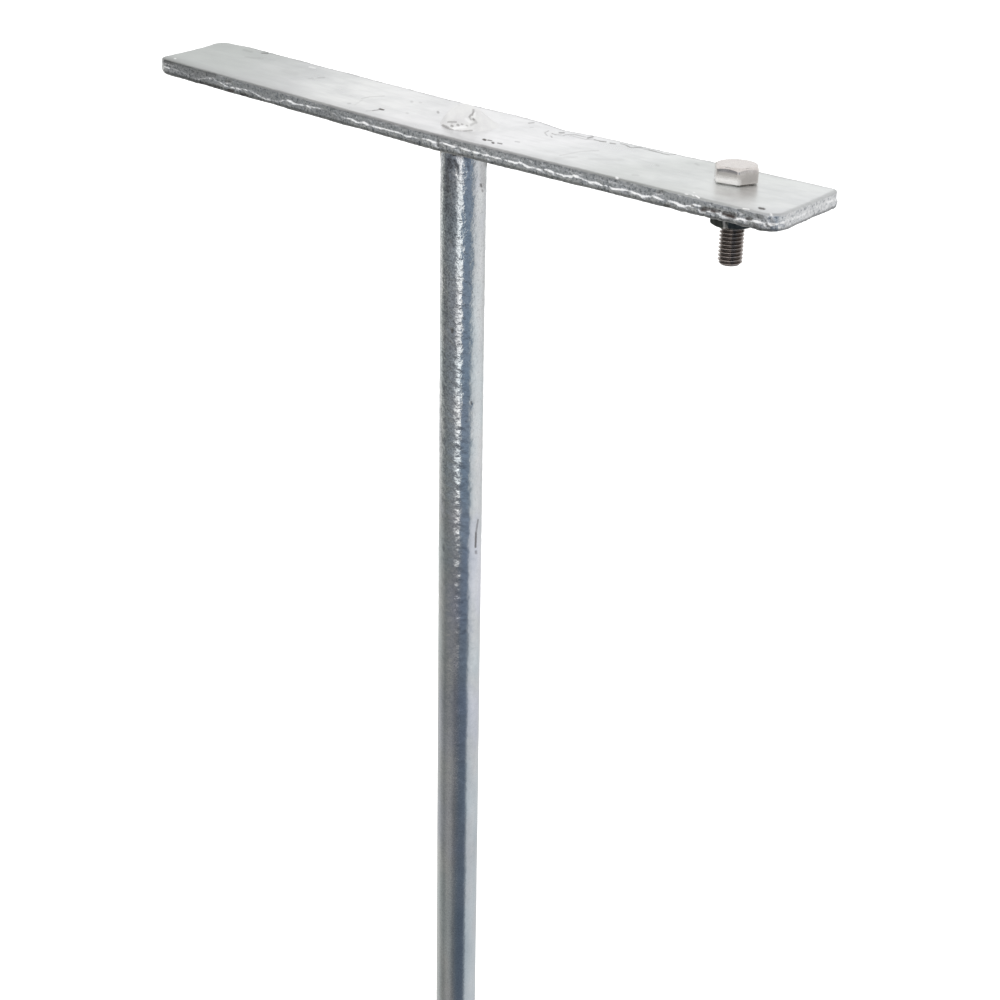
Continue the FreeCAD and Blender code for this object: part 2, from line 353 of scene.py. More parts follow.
# Marks on the top: start and end in the photograph's pixels, half width in pixels, darkness
TOP_MARKS = [
    ((484, 139.3), (485, 139.7), 1.6, 1.0), ((488, 140), (491.5, 140.6), 0.9, 0.8),
    ((492.7, 142.3), (493.3, 143), 1.3, 0.9), ((498, 143), (501.5, 143.6), 1.0, 0.75),
    ((515.5, 141.5), (519, 142), 1.1, 0.25), ((437.8, 111.3), (438.2, 112.8), 1.2, 0.4),
    ((529, 123.9), (533.5, 123.5), 1.1, 0.5), ((530, 127.6), (533, 127.6), 0.7, 0.15),
    ((545, 132.3), (548.5, 130.6), 0.7, 0.35), ((545, 133), (547, 135.5), 0.8, 0.3),
    ((552.3, 133.4), (556, 134.6), 0.9, 0.45), ((551, 136), (552, 137.5), 0.8, 0.35),
    ((556, 134.6), (561, 134.8), 0.8, 0.3), ((559.5, 132.3), (564, 132.3), 1.0, 0.6),
    ((563, 135.6), (566, 134.5), 0.7, 0.3), ((566, 134.4), (576, 134.4), 0.8, 0.35),
    ((576, 134.6), (585, 137), 0.9, 0.35), ((571, 135.6), (586, 139.5), 0.7, 0.25),
    ((588, 138), (592.5, 136.8), 1.3, 0.5), ((586, 139.5), (593, 139), 0.7, 0.3),
    ((594.5, 139.9), (600, 141), 0.9, 0.45), ((600, 141.3), (605.5, 141.8), 1.1, 0.55),
    ((610.5, 143.2), (615, 143.8), 1.1, 0.45), ((621, 143.8), (626, 145), 0.7, 0.35),
    ((626, 145.2), (630, 147.3), 0.9, 0.45), ((630, 147.4), (634, 147.8), 0.9, 0.4),
    ((635, 147.2), (642, 147.9), 0.9, 0.45), ((644, 149), (649, 149.8), 0.8, 0.3),
    ((649, 150), (656, 151.7), 0.9, 0.45), ((656, 152), (662, 153.2), 0.8, 0.4),
    ((662, 153.6), (669, 154.9), 0.9, 0.42), ((669, 154.9), (676, 154.5), 0.7, 0.3),
    ((560, 155.5), (580, 151.5), 1.0, 0.12), ((580, 151.5), (598, 150.5), 1.1, 0.14),
    ((556, 158.5), (576, 157), 2.0, 0.07), ((590, 159), (622, 160), 2.4, 0.07),
    ((633, 175), (638, 175.5), 1.5, 0.12), ((656.5, 165), (658, 165.5), 1.6, 0.12),
    ((696, 164), (698, 165), 1.6, 0.12), ((760, 208), (763.7, 208.7), 1.6, 0.9),
    ((380, 108.9), (383.2, 109.8), 1.3, 0.95), ((372.5, 110.6), (380.5, 109.6), 0.8, 0.5),
    ((366, 111), (372.5, 110.6), 0.6, 0.25), ((362, 98.5), (370, 96.8), 1.0, 0.18),
    ((370, 96.8), (384, 96), 0.9, 0.16), ((355, 105), (362, 100), 1.0, 0.08),
    ((348.5, 103.5), (350, 103.5), 1.3, 0.2), ((318, 77.8), (324, 77.6), 1.2, 0.2),
    ((309, 78.5), (313, 78.6), 1.0, 0.12), ((262.5, 53.9), (268, 54.2), 1.2, 0.6),
    ((244, 50.6), (252, 52.6), 1.5, 0.15), ((246, 57), (262, 59), 1.6, 0.10),
    ((411.5, 101.3), (412, 102), 1.4, 0.2), ((407, 113), (407.6, 113.5), 1.4, 0.15),
    ((420, 102.3), (421, 102.7), 1.2, 0.15), ((285, 71), (296, 74), 3.5, 0.06),
]
# Painted highlights on the top's front border and its front right corner
TOP_HIGHLIGHTS = [
    ((616.8, 177.5), (617.2, 178), 1.5, 1.0), ((685.5, 194), (687.5, 194.3), 0.9, 0.8),
    ((692.5, 195), (693.5, 195.8), 0.9, 0.8), ((696, 195.8), (699, 197.7), 1.0, 1.0),
    ((693.5, 192.3), (694.5, 192.5), 0.8, 0.7), ((743.5, 208.3), (748.5, 209.2), 1.0, 0.9),
    ((771.5, 214.5), (777.5, 224), 0.9, 0.8), ((771, 214), (774, 218), 1.2, 0.6),
    ((175, 58.3), (175.4, 58.7), 1.0, 0.6), ((310, 67.5), (315, 68.5), 1.2, 0.5),
]
# Slits, pits and dull places in the front face
FRONT_MARKS = [
    ((168, 62), (204, 82), 5.0, 0.22), ((505, 153), (640, 186), 2.6, 0.16),
    ((330, 107), (500, 152), 2.4, 0.14),
    ((702.6, 209.6), (704.4, 209.3), 2.2, 0.95), ((704.5, 209), (709, 209.3), 1.5, 0.85),
    ((709, 209.4), (712, 210.2), 1.3, 0.7), ((712, 210.2), (714.7, 211.2), 1.8, 0.95),
    ((714.7, 211.3), (719.5, 211.5), 1.3, 0.75), ((723.6, 213.5), (728, 214.7), 1.8, 0.95),
    ((728, 214.9), (733.6, 216.5), 2.3, 1.0), ((772, 218), (781.5, 227), 0.9, 0.45),
    ((747, 218.7), (751, 219.4), 1.2, 0.85),
    ((691.5, 205.8), (693.2, 206.3), 1.0, 0.6), ((437.6, 140), (438.2, 146), 1.3, 0.5),
    ((482, 146), (488, 149.5), 3.0, 0.22), ((657.5, 192.8), (662, 192.3), 1.6, 0.4),
    ((665, 205), (669.5, 205.6), 1.3, 0.5), ((229, 90.4), (233, 90.7), 1.3, 0.9),
    ((242, 94), (247.5, 96), 1.6, 0.5), ((192, 72.5), (214, 76), 2.4, 0.35),
    ((164.5, 61.5), (172, 64.5), 1.7, 0.5), ((172, 64.5), (190, 69), 1.6, 0.3),
    ((226, 81.5), (230, 81.7), 1.6, 0.45), ((200, 82.5), (219, 87), 1.3, 0.45),
    ((770.5, 218.5), (777, 226.5), 1.8, 0.4), ((766.5, 224), (768, 226), 1.2, 0.55),
    ((753, 225), (757, 227), 1.4, 0.4), ((757, 216.5), (761, 218.5), 2.0, 0.3),
    ((740, 211), (742, 213), 1.6, 0.3), ((322, 110), (336, 117), 2.4, 0.2),
    ((432, 135), (447, 139), 2.2, 0.25), ((452, 143), (470, 148), 1.8, 0.22),
]


def bar_top(x):
    """Height of the crossbar's top along its length: two straight arms and a long bend."""
    left = math.tan(math.radians(LEFT_ARM_RISE))
    right = math.tan(math.radians(RIGHT_ARM_RISE))
    reach = BEND_RADIUS * math.tan(math.radians(LEFT_ARM_RISE + RIGHT_ARM_RISE) / 2)
    along = np.clip(x, -reach, reach) + reach
    bend = left * reach - left * along + (left + right) * along ** 2 / (4 * reach)
    outside = np.where(x < 0, -left * np.minimum(x + reach, 0), right * np.maximum(x - reach, 0))
    return BAR_THICKNESS + bend + outside


def bar_side(side):
    """Outward direction of one side of the crossbar's plan, and its distance from the origin."""
    angle, through, _ = BAR_SIDES[side % 4]
    facing = np.array([math.cos(math.radians(angle)), math.sin(math.radians(angle))])
    return facing, float(facing @ np.array(through))


def corner_point(side, inset):
    """Where one side of the crossbar's plan meets the next, with both moved inwards."""
    first, first_reach = bar_side(side)
    second, second_reach = bar_side(side + 1)
    return np.linalg.solve(np.array([first, second]), np.array([first_reach - inset, second_reach - inset]))


def bar_ring(inset):
    """Plan points round the crossbar at one inset, and the directions that they face."""
    points = []
    directions = []
    for side in range(4):
        facing = bar_side(side)[0]
        before = BAR_SIDES[side - 1][2]
        after = BAR_SIDES[side][2]
        start = corner_point(side - 1, max(before, inset)) + facing * max(before - inset, 0)
        centre = corner_point(side, max(after, inset))
        end = centre + facing * max(after - inset, 0)
        steps = END_STEPS if side % 2 else LONG_STEPS
        for step in range(steps):
            points.append(start + (end - start) * step / steps)
            directions.append(facing)
        first = math.radians(BAR_SIDES[side][0])
        turn = (math.radians(BAR_SIDES[(side + 1) % 4][0]) - first) % (2 * math.pi)
        steps = round(after * turn / CORNER_STEP) + CORNER_LEAST_STEPS
        for step in range(steps):
            angle = first + turn * step / steps
            out = np.array([math.cos(angle), math.sin(angle)])
            points.append(centre + out * max(after - inset, 0))
            directions.append(out)
    return np.array(points), np.array(directions)


def bar_profile():
    """Rows over the crossbar's edge: inset, drop below the top, outward share, upward share."""
    rows = [(inset * MM, 0.0, 0.0, 1.0) for inset in reversed(TOP_INSETS)]
    for step in range(1, ROLL_STEPS + 1):
        angle = math.pi / 2 * step / ROLL_STEPS
        rows.append((TOP_ROLL * (1 - math.sin(angle)), TOP_ROLL * (1 - math.cos(angle)),
                     math.sin(angle), math.cos(angle)))
    wall = BAR_THICKNESS - TOP_ROLL - UNDER_ROLL
    rows += [(0.0, TOP_ROLL + wall * step / WALL_STEPS, 1.0, 0.0) for step in range(1, WALL_STEPS + 1)]
    for step in range(1, ROLL_STEPS):
        angle = math.pi / 2 * step / ROLL_STEPS
        rows.append((UNDER_ROLL * (1 - math.cos(angle)), BAR_THICKNESS - UNDER_ROLL * (1 - math.sin(angle)),
                     math.cos(angle), -math.sin(angle)))
    rows += [(inset * MM, BAR_THICKNESS, 0.0, -1.0) for inset in UNDER_INSETS]
    return rows


def outline_inset(x, y):
    """How far plan points lie inside the crossbar's outline."""
    plan = np.column_stack([x, y])
    sides = [bar_side(side) for side in range(4)]
    insides = [reach - plan @ facing for facing, reach in sides]
    inside = np.minimum.reduce(insides)
    for side in range(4):
        radius = BAR_SIDES[side][2]
        near = (insides[side] < radius) & (insides[(side + 1) % 4] < radius)
        rounded = radius - np.linalg.norm(plan - corner_point(side, radius), axis=1)
        inside = np.where(near, rounded, inside)
    return inside


def in_bar_top(points):
    """Whether points lie below the crossbar's top."""
    return points[:, 2] < bar_top(points[:, 0])


def in_bar_front(points):
    """Whether points lie behind the crossbar's front side."""
    return points[:, 1] > -BAR_HALF_WIDTH


def crest_path():
    """Crest of the front's zinc run: place along the crossbar, drop below its top, and strength."""
    rows = []
    for across, down, strength in RUN_CREST:
        place = seen_place((across, down), in_bar_front)[0]
        rows.append((place[0], float(bar_top(place[0])) - place[2], strength))
    return np.array(rows)


def front_share(points):
    """How much points belong to the crossbar's front side."""
    return soft_step(-points[:, 1], *FRONT_FADE)


def run_start(points):
    """Drop below the top at which the zinc run starts."""
    flat = points * RUN_STRETCH
    loose = BAR_THICKNESS * (RUN_START + RUN_SWING * layered(flat, RUN_SWINGS))
    path = np.interp(points[:, 0], CREST[:, 0], CREST[:, 1]) + MM * layered(flat, CREST_SWINGS)
    return loose + (path - loose) * front_share(points)


def run_strength(points):
    """How strongly the zinc run stands out along the edges."""
    loose = LOOSE_STRENGTH + layered(points, LOOSE_SWINGS)
    path = np.interp(points[:, 0], CREST[:, 0], CREST[:, 2])
    path = path * (CREST_STRENGTH + layered(points, CREST_BREAKS))
    return np.clip(loose + (path - loose) * front_share(points), *RUN_LIMITS)


def run_amount(points, drop):
    """How much of the zinc run lies at each point of the edge, 0 above it and up to 1 in it."""
    start = run_start(points)
    rise = soft_step(drop, start - RUN_RISE, start + RUN_RISE)
    return rise * (1 - RUN_FALL * soft_step(drop, start + RUN_FALL_FROM, BAR_THICKNESS))


def shelf_amount(points, drop):
    """How much painted highlight each point of the edge gets on the shelf above the run's crest."""
    away = np.abs(drop - run_start(points))
    return (1 - soft_step(away, *SHELF_REACH)) * run_strength(points)


# Lumps in millimetres: everywhere on the edges, and in the run, where they grow towards the right
EDGE_LUMPS = [(0.05, 4.5, 2), (0.06, 2.2, 7), (0.07, 1.1, 9)]
RUN_LUMPS = [(0.12, 3, 10), (0.11, 1.5, 11)]
COARSE_LEFT = 0.7
COARSE_GAIN = 2.2
COARSE_SPAN = (92 * MM, 112 * MM)


def lump_relief(points, run):
    """Lumps of zinc on the edges, coarser in the run and coarsest at the right."""
    coarse = COARSE_LEFT + COARSE_GAIN * soft_step(points[:, 0], *COARSE_SPAN)
    return MM * (layered(points, EDGE_LUMPS) + run * coarse * layered(points, RUN_LUMPS))


def along_bar(x, stations):
    """Value along the crossbar between stations, whose places are in millimetres."""
    places, values = zip(*stations)
    return np.interp(x / MM, places, values)


# The left end is rounded off above and below: where it starts, how far it comes down and goes up, and
# how far in from the end and the faces
NOSE_SPAN = (134 * MM, 148 * MM)
NOSE_TOP = 0.5 * MM
NOSE_FOOT = 1.0 * MM
NOSE_INSET = 3 * MM
NOSE_DROP = 2.5 * MM


def nose_round(points, drop, inset):
    """How far the left end's upper edge comes down, less how far its lower edge goes up."""
    nose = soft_step(-points[:, 0], *NOSE_SPAN) * (1 - soft_step(inset, 0, NOSE_INSET)) ** 2
    upper = 1 - soft_step(drop, 0, NOSE_DROP)
    lower = soft_step(drop, BAR_THICKNESS - NOSE_DROP, BAR_THICKNESS)
    return nose * (NOSE_TOP * upper - NOSE_FOOT * lower)


# How the hang of the zinc varies, and where the hang and the back edge's lift fade
HANG_EVEN = 0.85
HANG_SWINGS = [(0.5, 8, 14)]
HANG_INSETS = (0.8 * MM, 3.5 * MM)
HANG_DROPS = (BAR_THICKNESS - 1.8 * MM, BAR_THICKNESS - 0.1 * MM)
LIFT_DROPS = (0, 2 * MM)
LIFT_SPAN = (7 * MM, 19 * MM)


def edge_lift(points, drop, inset):
    """How far zinc lifts the back edge of the top, less how far it hangs below the lower edges."""
    x = points[:, 0]
    uneven = HANG_EVEN + layered(points * np.array([1, 1, 0]), HANG_SWINGS)
    low = (1 - soft_step(inset, *HANG_INSETS)) * soft_step(drop, *HANG_DROPS)
    back = soft_step(points[:, 1], *LIFT_SPAN) * (1 - soft_step(drop, *LIFT_DROPS))
    return MM * (along_bar(x, BACK_RISE) * back - along_bar(x, LOWER_HANG) * uneven * low)


CREST = crest_path()
BAR_TOP_MARKS = placed_marks(TOP_MARKS, in_bar_top)
BAR_TOP_HIGHLIGHTS = placed_marks(TOP_HIGHLIGHTS, in_bar_top)
BAR_FRONT_MARKS = placed_marks(FRONT_MARKS, in_bar_front)
# Depth of the marks, waves of the top in millimetres, and insets over which the edges' relief fades
TOP_MARK_DEPTH = 0.3 * MM
FRONT_MARK_DEPTH = 0.5 * MM
TOP_WAVES = [(0.10, 16, 1), (0.012, 4, 13)]
EDGE_FADE = (0.2 * MM, 2.2 * MM)


def bar_points():
    """Rings of points over the crossbar, with its zinc's runs, lumps and marks in them."""
    rows = bar_profile()
    points = []
    outward = []
    upward = []
    drops = []
    for inset, drop, out, up in rows:
        plan, directions = bar_ring(inset)
        points.append(np.column_stack([plan, bar_top(plan[:, 0]) - drop]))
        outward.append(np.column_stack([directions * out, np.zeros(len(plan))]))
        upward.append(np.full(len(plan), up))
        drops.append(np.full(len(plan), drop))
    points = np.concatenate(points)
    outward = np.concatenate(outward)
    upward = np.concatenate(upward)
    drop = np.concatenate(drops)
    normals = outward + np.column_stack([np.zeros((len(points), 2)), upward])
    inset = np.maximum(outline_inset(points[:, 0], points[:, 1]), 0)
    edge = 1 - soft_step(inset, *EDGE_FADE)
    run = run_amount(points, drop)
    relief = MM * layered(points, TOP_WAVES) + edge * lump_relief(points, run)
    relief -= np.where(upward > 0.5, TOP_MARK_DEPTH * marks_amount(points, BAR_TOP_MARKS), 0)
    stand_out = edge * run * run_strength(points) * RUN_DEPTH
    stand_out -= edge * FRONT_MARK_DEPTH * marks_amount(points, BAR_FRONT_MARKS) * front_share(points)
    lifted = edge_lift(points, drop, inset) - nose_round(points, drop, inset)
    moved = points + normals * relief[:, None] + outward * stand_out[:, None]
    moved[:, 2] += lifted
    return moved, len(rows), len(plan)


# Holes for the spigot and the bolt, and the round cutters that make them
HOLE_SEGMENTS = 96
HOLE_DEPTH = 40 * MM
SPIGOT_HOLE_RADIUS = SPIGOT_RADIUS + 0.05 * MM
BOLT_HOLE_RADIUS = 4.5 * MM


def drill(piece, cutters):
    """Cut round holes through a mesh."""
    for radius, matrix in cutters:
        cutter_mesh = bpy.data.meshes.new("cutter")
        work = bmesh.new()
        bmesh.ops.create_cone(work, cap_ends=True, segments=HOLE_SEGMENTS, radius1=radius,
                              radius2=radius, depth=HOLE_DEPTH, matrix=matrix)
        work.to_mesh(cutter_mesh)
        work.free()
        cutter = add_object("cutter", cutter_mesh)
        boolean = piece.modifiers.new("hole", "BOOLEAN")
        boolean.operation = "DIFFERENCE"
        boolean.solver = "EXACT"
        boolean.object = cutter
        bpy.context.view_layer.update()
        cut = piece.evaluated_get(bpy.context.evaluated_depsgraph_get())
        made = bpy.data.meshes.new_from_object(cut)
        piece.modifiers.remove(boolean)
        piece.data = made
        bpy.data.objects.remove(cutter)


def bolt_matrix():
    """Place of the bolt's axis, with Z 0 on the top of the right arm."""
    x = RIGHT_ARM - BOLT_FROM_END
    top = BAR_THICKNESS + x * math.tan(math.radians(RIGHT_ARM_RISE))
    lean = Matrix.Rotation(math.radians(-RIGHT_ARM_RISE), 4, "Y")
    return Matrix.Translation((x, BOLT_OFF_CENTRE, top)) @ lean


# Painted shade on the rolled upper edge and on the top's border at the front, how strong along X
ROLL_SHADE = [(-150, 0.42), (-60, 0.50), (0, 0.50), (50, 0.42), (100, 0.38), (150, 0.26)]
BORDER_SHADE = [(-150, 0.42), (-118, 0.26), (-80, 0.18), (-40, 0.15), (150, 0.10)]
ROLL_SWINGS = [(0.30, 1.1, 18), (0.30, 5, 19)]
ROLL_INSETS = (0.6 * MM, 1.8 * MM)
ROLL_DROPS = (0.2 * MM, 0.8 * MM)
BORDER_FADE = (0.5 * MM, 9 * MM)
# Painted shade on the edges at their foot, darker edges towards the left and at the right end, and where that
# fades
FOOT_SHADE = 0.60
FOOT_DROPS = (BAR_THICKNESS - 1.4 * MM, BAR_THICKNESS - 0.5 * MM)
LEFT_SHADE = 0.22
LEFT_SPAN = (-120 * MM, 60 * MM)
END_SHADE = 0.16
END_SPAN = (134 * MM, 140 * MM)
# Drops over which the top ends, and insets over which the shelf's painted highlight does
TOP_DROPS = (0.25 * MM, 0.7 * MM)
SHELF_INSETS = (0.4 * MM, 2.6 * MM)


def bar_shade(points, drop, inset, top):
    """How bright the zinc is at each point, 1 where nothing darkens it: painted shade on the rolled edge, the
    top's front border and the edges' foot, and darker edges towards the left and at the right end.
    """
    x = points[:, 0]
    uneven = MM * layered(points, ROLL_SWINGS)
    roll = (1 - soft_step(inset + uneven, *ROLL_INSETS)) * (1 - soft_step(drop, *ROLL_DROPS))
    border = top * (1 - soft_step(points[:, 1] + BAR_HALF_WIDTH, *BORDER_FADE))
    shade = (1 - along_bar(x, ROLL_SHADE) * roll) * (1 - along_bar(x, BORDER_SHADE) * border)
    foot = FOOT_SHADE * soft_step(drop, *FOOT_DROPS)
    left = LEFT_SHADE * (1 - soft_step(x, *LEFT_SPAN))
    end = END_SHADE * soft_step(x, *END_SPAN)
    for dulled in (foot, left, end):
        shade = shade * (1 - dulled * (1 - top))
    return shade


def make_crossbar():
    """Flat bar with rolled edges, zinc runs, marks and its two holes."""
    points, rows, columns = bar_points()
    bar = add_piece("crossbar_galvanised", points, grid_faces(rows, columns), "crossbar")
    drill(bar, [(SPIGOT_HOLE_RADIUS, Matrix.Identity(4)), (BOLT_HOLE_RADIUS, bolt_matrix())])
    mesh = bar.data
    mesh.name = "crossbar_galvanised"
    points = vertex_array(mesh)
    drop = bar_top(points[:, 0]) - points[:, 2]
    inset = outline_inset(points[:, 0], points[:, 1])
    top = 1 - soft_step(drop, *TOP_DROPS)
    # Painted highlight on the shelf above the zinc run's crest
    store(mesh, "shelf", (1 - soft_step(inset, *SHELF_INSETS)) * shelf_amount(points, drop))
    store(mesh, "top", top)
    # Painted shade on the rolled edge, the top's front border and the edges' foot, with darker edges to the
    # left and at the right end
    store(mesh, "shade", bar_shade(points, drop, inset, top))
    return bar


# Shaft shape

SHAFT_COLUMNS = 120
SHAFT_FINE_STEP = 0.6 * MM
SHAFT_FINE_REACH = 200 * MM
SHAFT_MIDDLE_STEP = 1.0 * MM
SHAFT_MIDDLE_REACH = 400 * MM
SHAFT_COARSE_STEP = 3.2 * MM
SHAFT_FULL_FROM = 3.0 * MM
# Rows of the point's cone
CONE_STEPS = 12
# Slits and pits on the shaft, and painted shade under the crossbar and down its left side near the top: start
# and end in the photograph's pixels, half width, darkness
SHAFT_MARKS_AND_SHADE = [
    ((478, 520), (476, 533), 1.0, 0.5), ((476, 533), (475.5, 547), 1.0, 0.80),
    ((476, 551.5), (476, 553), 1.2, 0.5), ((444, 545), (444, 550), 1.3, 0.25),
    ((482.3, 190.0), (482.6, 191.2), 1.0, 0.5), ((480.9, 184.6), (481.3, 186.2), 1.3, 0.75),
    ((451.8, 330), (452.2, 332), 1.2, 0.8), ((471.2, 402), (471.6, 404), 0.9, 0.6),
    ((449, 160), (450.5, 167), 3.0, 0.62), ((447.5, 168), (448, 192), 1.8, 0.45),
    ((454, 161), (457, 168), 2.0, 0.55), ((457.5, 166), (457, 172), 1.4, 0.45),
    ((446.5, 176), (447.5, 183), 1.4, 0.45), ((447, 205), (449, 216), 2.0, 0.30),
    ((468, 163), (468.5, 170), 1.3, 0.35), ((449, 228), (450, 236), 1.8, 0.28),
    ((450.5, 170), (451, 200), 4.5, 0.26), ((450.5, 200), (451.5, 245), 3.4, 0.28),
    ((451, 154), (468, 158.6), 2.4, 0.45), ((468, 159), (487, 163.8), 2.2, 0.42),
    ((486, 164), (486.5, 200), 2.2, 0.48), ((482, 164), (483, 186), 3.0, 0.26),
]
# Painted glints on the shaft: start and end in pixels, half width, brightness
SHAFT_GLINTS = [
    ((456, 517), (460, 523), 0.8, 0.8), ((452.5, 172.5), (456, 175), 1.6, 0.8),
    ((453, 181), (456, 178.5), 1.2, 0.6), ((466.5, 168), (467.5, 176), 1.0, 0.6),
    ((451, 196), (453, 204), 1.0, 0.5), ((450, 241), (452, 250), 1.2, 0.5),
]


def in_shaft(points):
    """Whether points lie inside the shaft."""
    return np.hypot(points[:, 0], points[:, 1]) < SHAFT_RADIUS


SHAFT_DARK = placed_marks(SHAFT_MARKS_AND_SHADE, in_shaft)
SHAFT_BRIGHT = placed_marks(SHAFT_GLINTS, in_shaft)


def shaft_outline():
    """Radius and height from the spigot's end down to the tip."""
    top = BAR_THICKNESS + SPIGOT_STAND
    rows = [(0.0, top), (SPIGOT_END_RADIUS / 2, top), (SPIGOT_END_RADIUS, top),
            (SPIGOT_RADIUS, SPIGOT_EDGE), (SPIGOT_RADIUS, 0.0), (SHAFT_RADIUS, -SHAFT_FULL_FROM)]
    height = -SHAFT_FULL_FROM
    shoulder = SHAFT_TIP + POINT_LENGTH
    spans = [(SHAFT_FINE_STEP, -SHAFT_FINE_REACH), (SHAFT_MIDDLE_STEP, -SHAFT_MIDDLE_REACH),
             (SHAFT_COARSE_STEP, shoulder)]
    for size, end in spans:
        steps = round((height - end) / size)
        rows += [(SHAFT_RADIUS, height + (end - height) * step / steps) for step in range(1, steps + 1)]
        height = end
    for step in range(1, CONE_STEPS + 1):
        share = step / CONE_STEPS
        radius = SHAFT_RADIUS + (POINT_END_RADIUS + POINT_FLARE - SHAFT_RADIUS) * share
        rows.append((radius, shoulder - (POINT_LENGTH - POINT_END_ROUND) * share))
    return rows + [(POINT_END_RADIUS * 0.85, SHAFT_TIP + 0.35 * MM), (POINT_END_RADIUS * 0.5, SHAFT_TIP),
                   (0.0, SHAFT_TIP)]


# Zinc on the shaft in millimetres: lumps, fewer further down, and runs with their stretch along it
SHAFT_LUMPS = [(0.09, 3.0, 22), (0.07, 1.5, 23)]
SHAFT_RUNS = [(0.35, (0.055, 6, 21)), (0.15, (0.05, 9, 24))]
SHAFT_SMOOTHER = 0.75
SMOOTHER_SPAN = (60 * MM, 260 * MM)
SHAFT_RELIEF_SPAN = (0, 5 * MM)
SHAFT_MARK_DEPTH = 0.2 * MM
# Painted shade on the shaft under the crossbar, on the side away from the camera's left
UNDER_BAR_SHADE_SPAN = (10 * MM, 24 * MM)
UNDER_BAR_SHADE_SWINGS = [(4, 6, 25)]
UNDER_BAR_SHADE_FACING = np.array([1, 0.6, 0])
UNDER_BAR_SHADE_FACING_SPAN = (-1 * MM, 7 * MM)
UNDER_BAR_SHADE_LEFT = 0.35


def shaft_relief(points):
    """Zinc runs and lumps on the shaft, roughest near its top and fading out at the spigot."""
    rough = 1 - SHAFT_SMOOTHER * soft_step(-points[:, 2], *SMOOTHER_SPAN)
    relief = rough * layered(points, SHAFT_LUMPS)
    for stretch, layer in SHAFT_RUNS:
        relief += layered(points * np.array([1, 1, stretch]), [layer])
    return MM * relief * soft_step(-points[:, 2], *SHAFT_RELIEF_SPAN)


def shaft_under_bar_shade(points):
    """How much painted shade darkens the shaft under the crossbar at each point."""
    side = UNDER_BAR_SHADE_LEFT + (1 - UNDER_BAR_SHADE_LEFT) * soft_step(points @ UNDER_BAR_SHADE_FACING, *UNDER_BAR_SHADE_FACING_SPAN)
    uneven = MM * layered(points, UNDER_BAR_SHADE_SWINGS)
    return side * (1 - soft_step(-points[:, 2] + uneven, *UNDER_BAR_SHADE_SPAN))


def make_shaft():
    """Round bar with its spigot above and its point below, lumpy with zinc."""
    outline = shaft_outline()
    points = ring_points(outline, SHAFT_COLUMNS)
    radius = np.hypot(points[:, 0], points[:, 1])
    relief = shaft_relief(points) - SHAFT_MARK_DEPTH * marks_amount(points, SHAFT_DARK)
    share = 1 + np.where(radius > POINT_END_RADIUS, relief / np.maximum(radius, MM), 0)
    points[:, :2] *= share[:, None]
    faces = grid_faces(len(outline), SHAFT_COLUMNS)
    shaft = add_piece("shaft_galvanised", points, faces, "shaft")
    # Painted shade under the crossbar
    store(shaft.data, "heat", shaft_under_bar_shade(vertex_array(shaft.data)))
    return shaft


# Weld shapes

BEAD_COLUMNS = 150
BEAD_STEPS = 24
DOME_COLUMNS = 264
DOME_STEPS = 46
TOE_STEPS = 3
TOE_REACH = 0.4 * MM
TOE_SUNK = 0.3 * MM
DOME_GAP = 0.03 * MM
# Radius of the dome's foot by direction from +X in degrees: short at the left, long at the right
DOME_FOOT = [
    (-180, 9.4), (-165, 8.7), (-151, 8.4), (-130, 8.3), (-110, 8.5), (-90, 9.2), (-75, 9.9), (-63, 10.3),
    (-43, 10.9), (-10, 11.6), (20, 12.2), (45, 12.2), (80, 11.6), (110, 10.8), (135, 10.3), (160, 9.9),
    (180, 9.4),
]
DOME_FLANK = 1.30
DOME_FLANK_SWING = 0.30
DOME_LONG_SIDE = 60.0
# Lumps of the dome in millimetres, the depth of its marks, the rise of the places under its painted
# highlights, and the rise at which they are full
DOME_LUMPS = [(0.12, 6, 31), (0.07, 2.5, 32), (0.03, 1.2, 33)]
DOME_MARK_DEPTH = 0.25
DOME_HIGHLIGHT_RISE = 0.12
DOME_FULL_RISE = 1.5 * MM
# Folds, pits and ripples of the dome, with painted shade in its folds and on its left flank: start and end in
# pixels, half width, darkness
DOME_MARKS_AND_SHADE = [
    ((442.5, 125.5), (448, 128.2), 1.5, 0.62), ((448, 128.4), (453, 130.2), 0.9, 0.55),
    ((453, 130.3), (463, 131.2), 0.7, 0.35), ((463, 131.2), (472, 130.5), 0.9, 0.45),
    ((448, 122), (456, 122), 1.1, 0.5), ((449, 121.5), (452, 123), 1.0, 0.3),
    ((451.5, 125.8), (452.5, 126.2), 1.2, 0.6), ((457.5, 124.9), (458.5, 125.1), 1.3, 0.55),
    ((461.6, 124.2), (462.4, 124.4), 1.1, 0.45), ((466.6, 125.6), (467.4, 125.8), 1.0, 0.4),
    ((471.1, 124.6), (471.9, 124.8), 0.9, 0.3), ((473.5, 110), (473.5, 112), 1.3, 0.45),
    ((473.5, 112), (472, 115), 1.0, 0.6), ((471, 115), (469.5, 117), 1.1, 0.5),
    ((469.5, 117), (471, 119.5), 1.1, 0.4), ((473.3, 119.2), (474, 119.8), 1.3, 0.7),
    ((474, 120), (476, 122.5), 1.7, 0.35), ((476, 122.5), (471, 125), 1.3, 0.3),
    ((445, 108.5), (459, 104.8), 1.0, 0.12), ((442.5, 112), (444.5, 122), 4.0, 0.13),
    ((447, 120), (468, 126), 3.0, 0.07), ((475, 113), (477, 128), 3.0, 0.07),
]
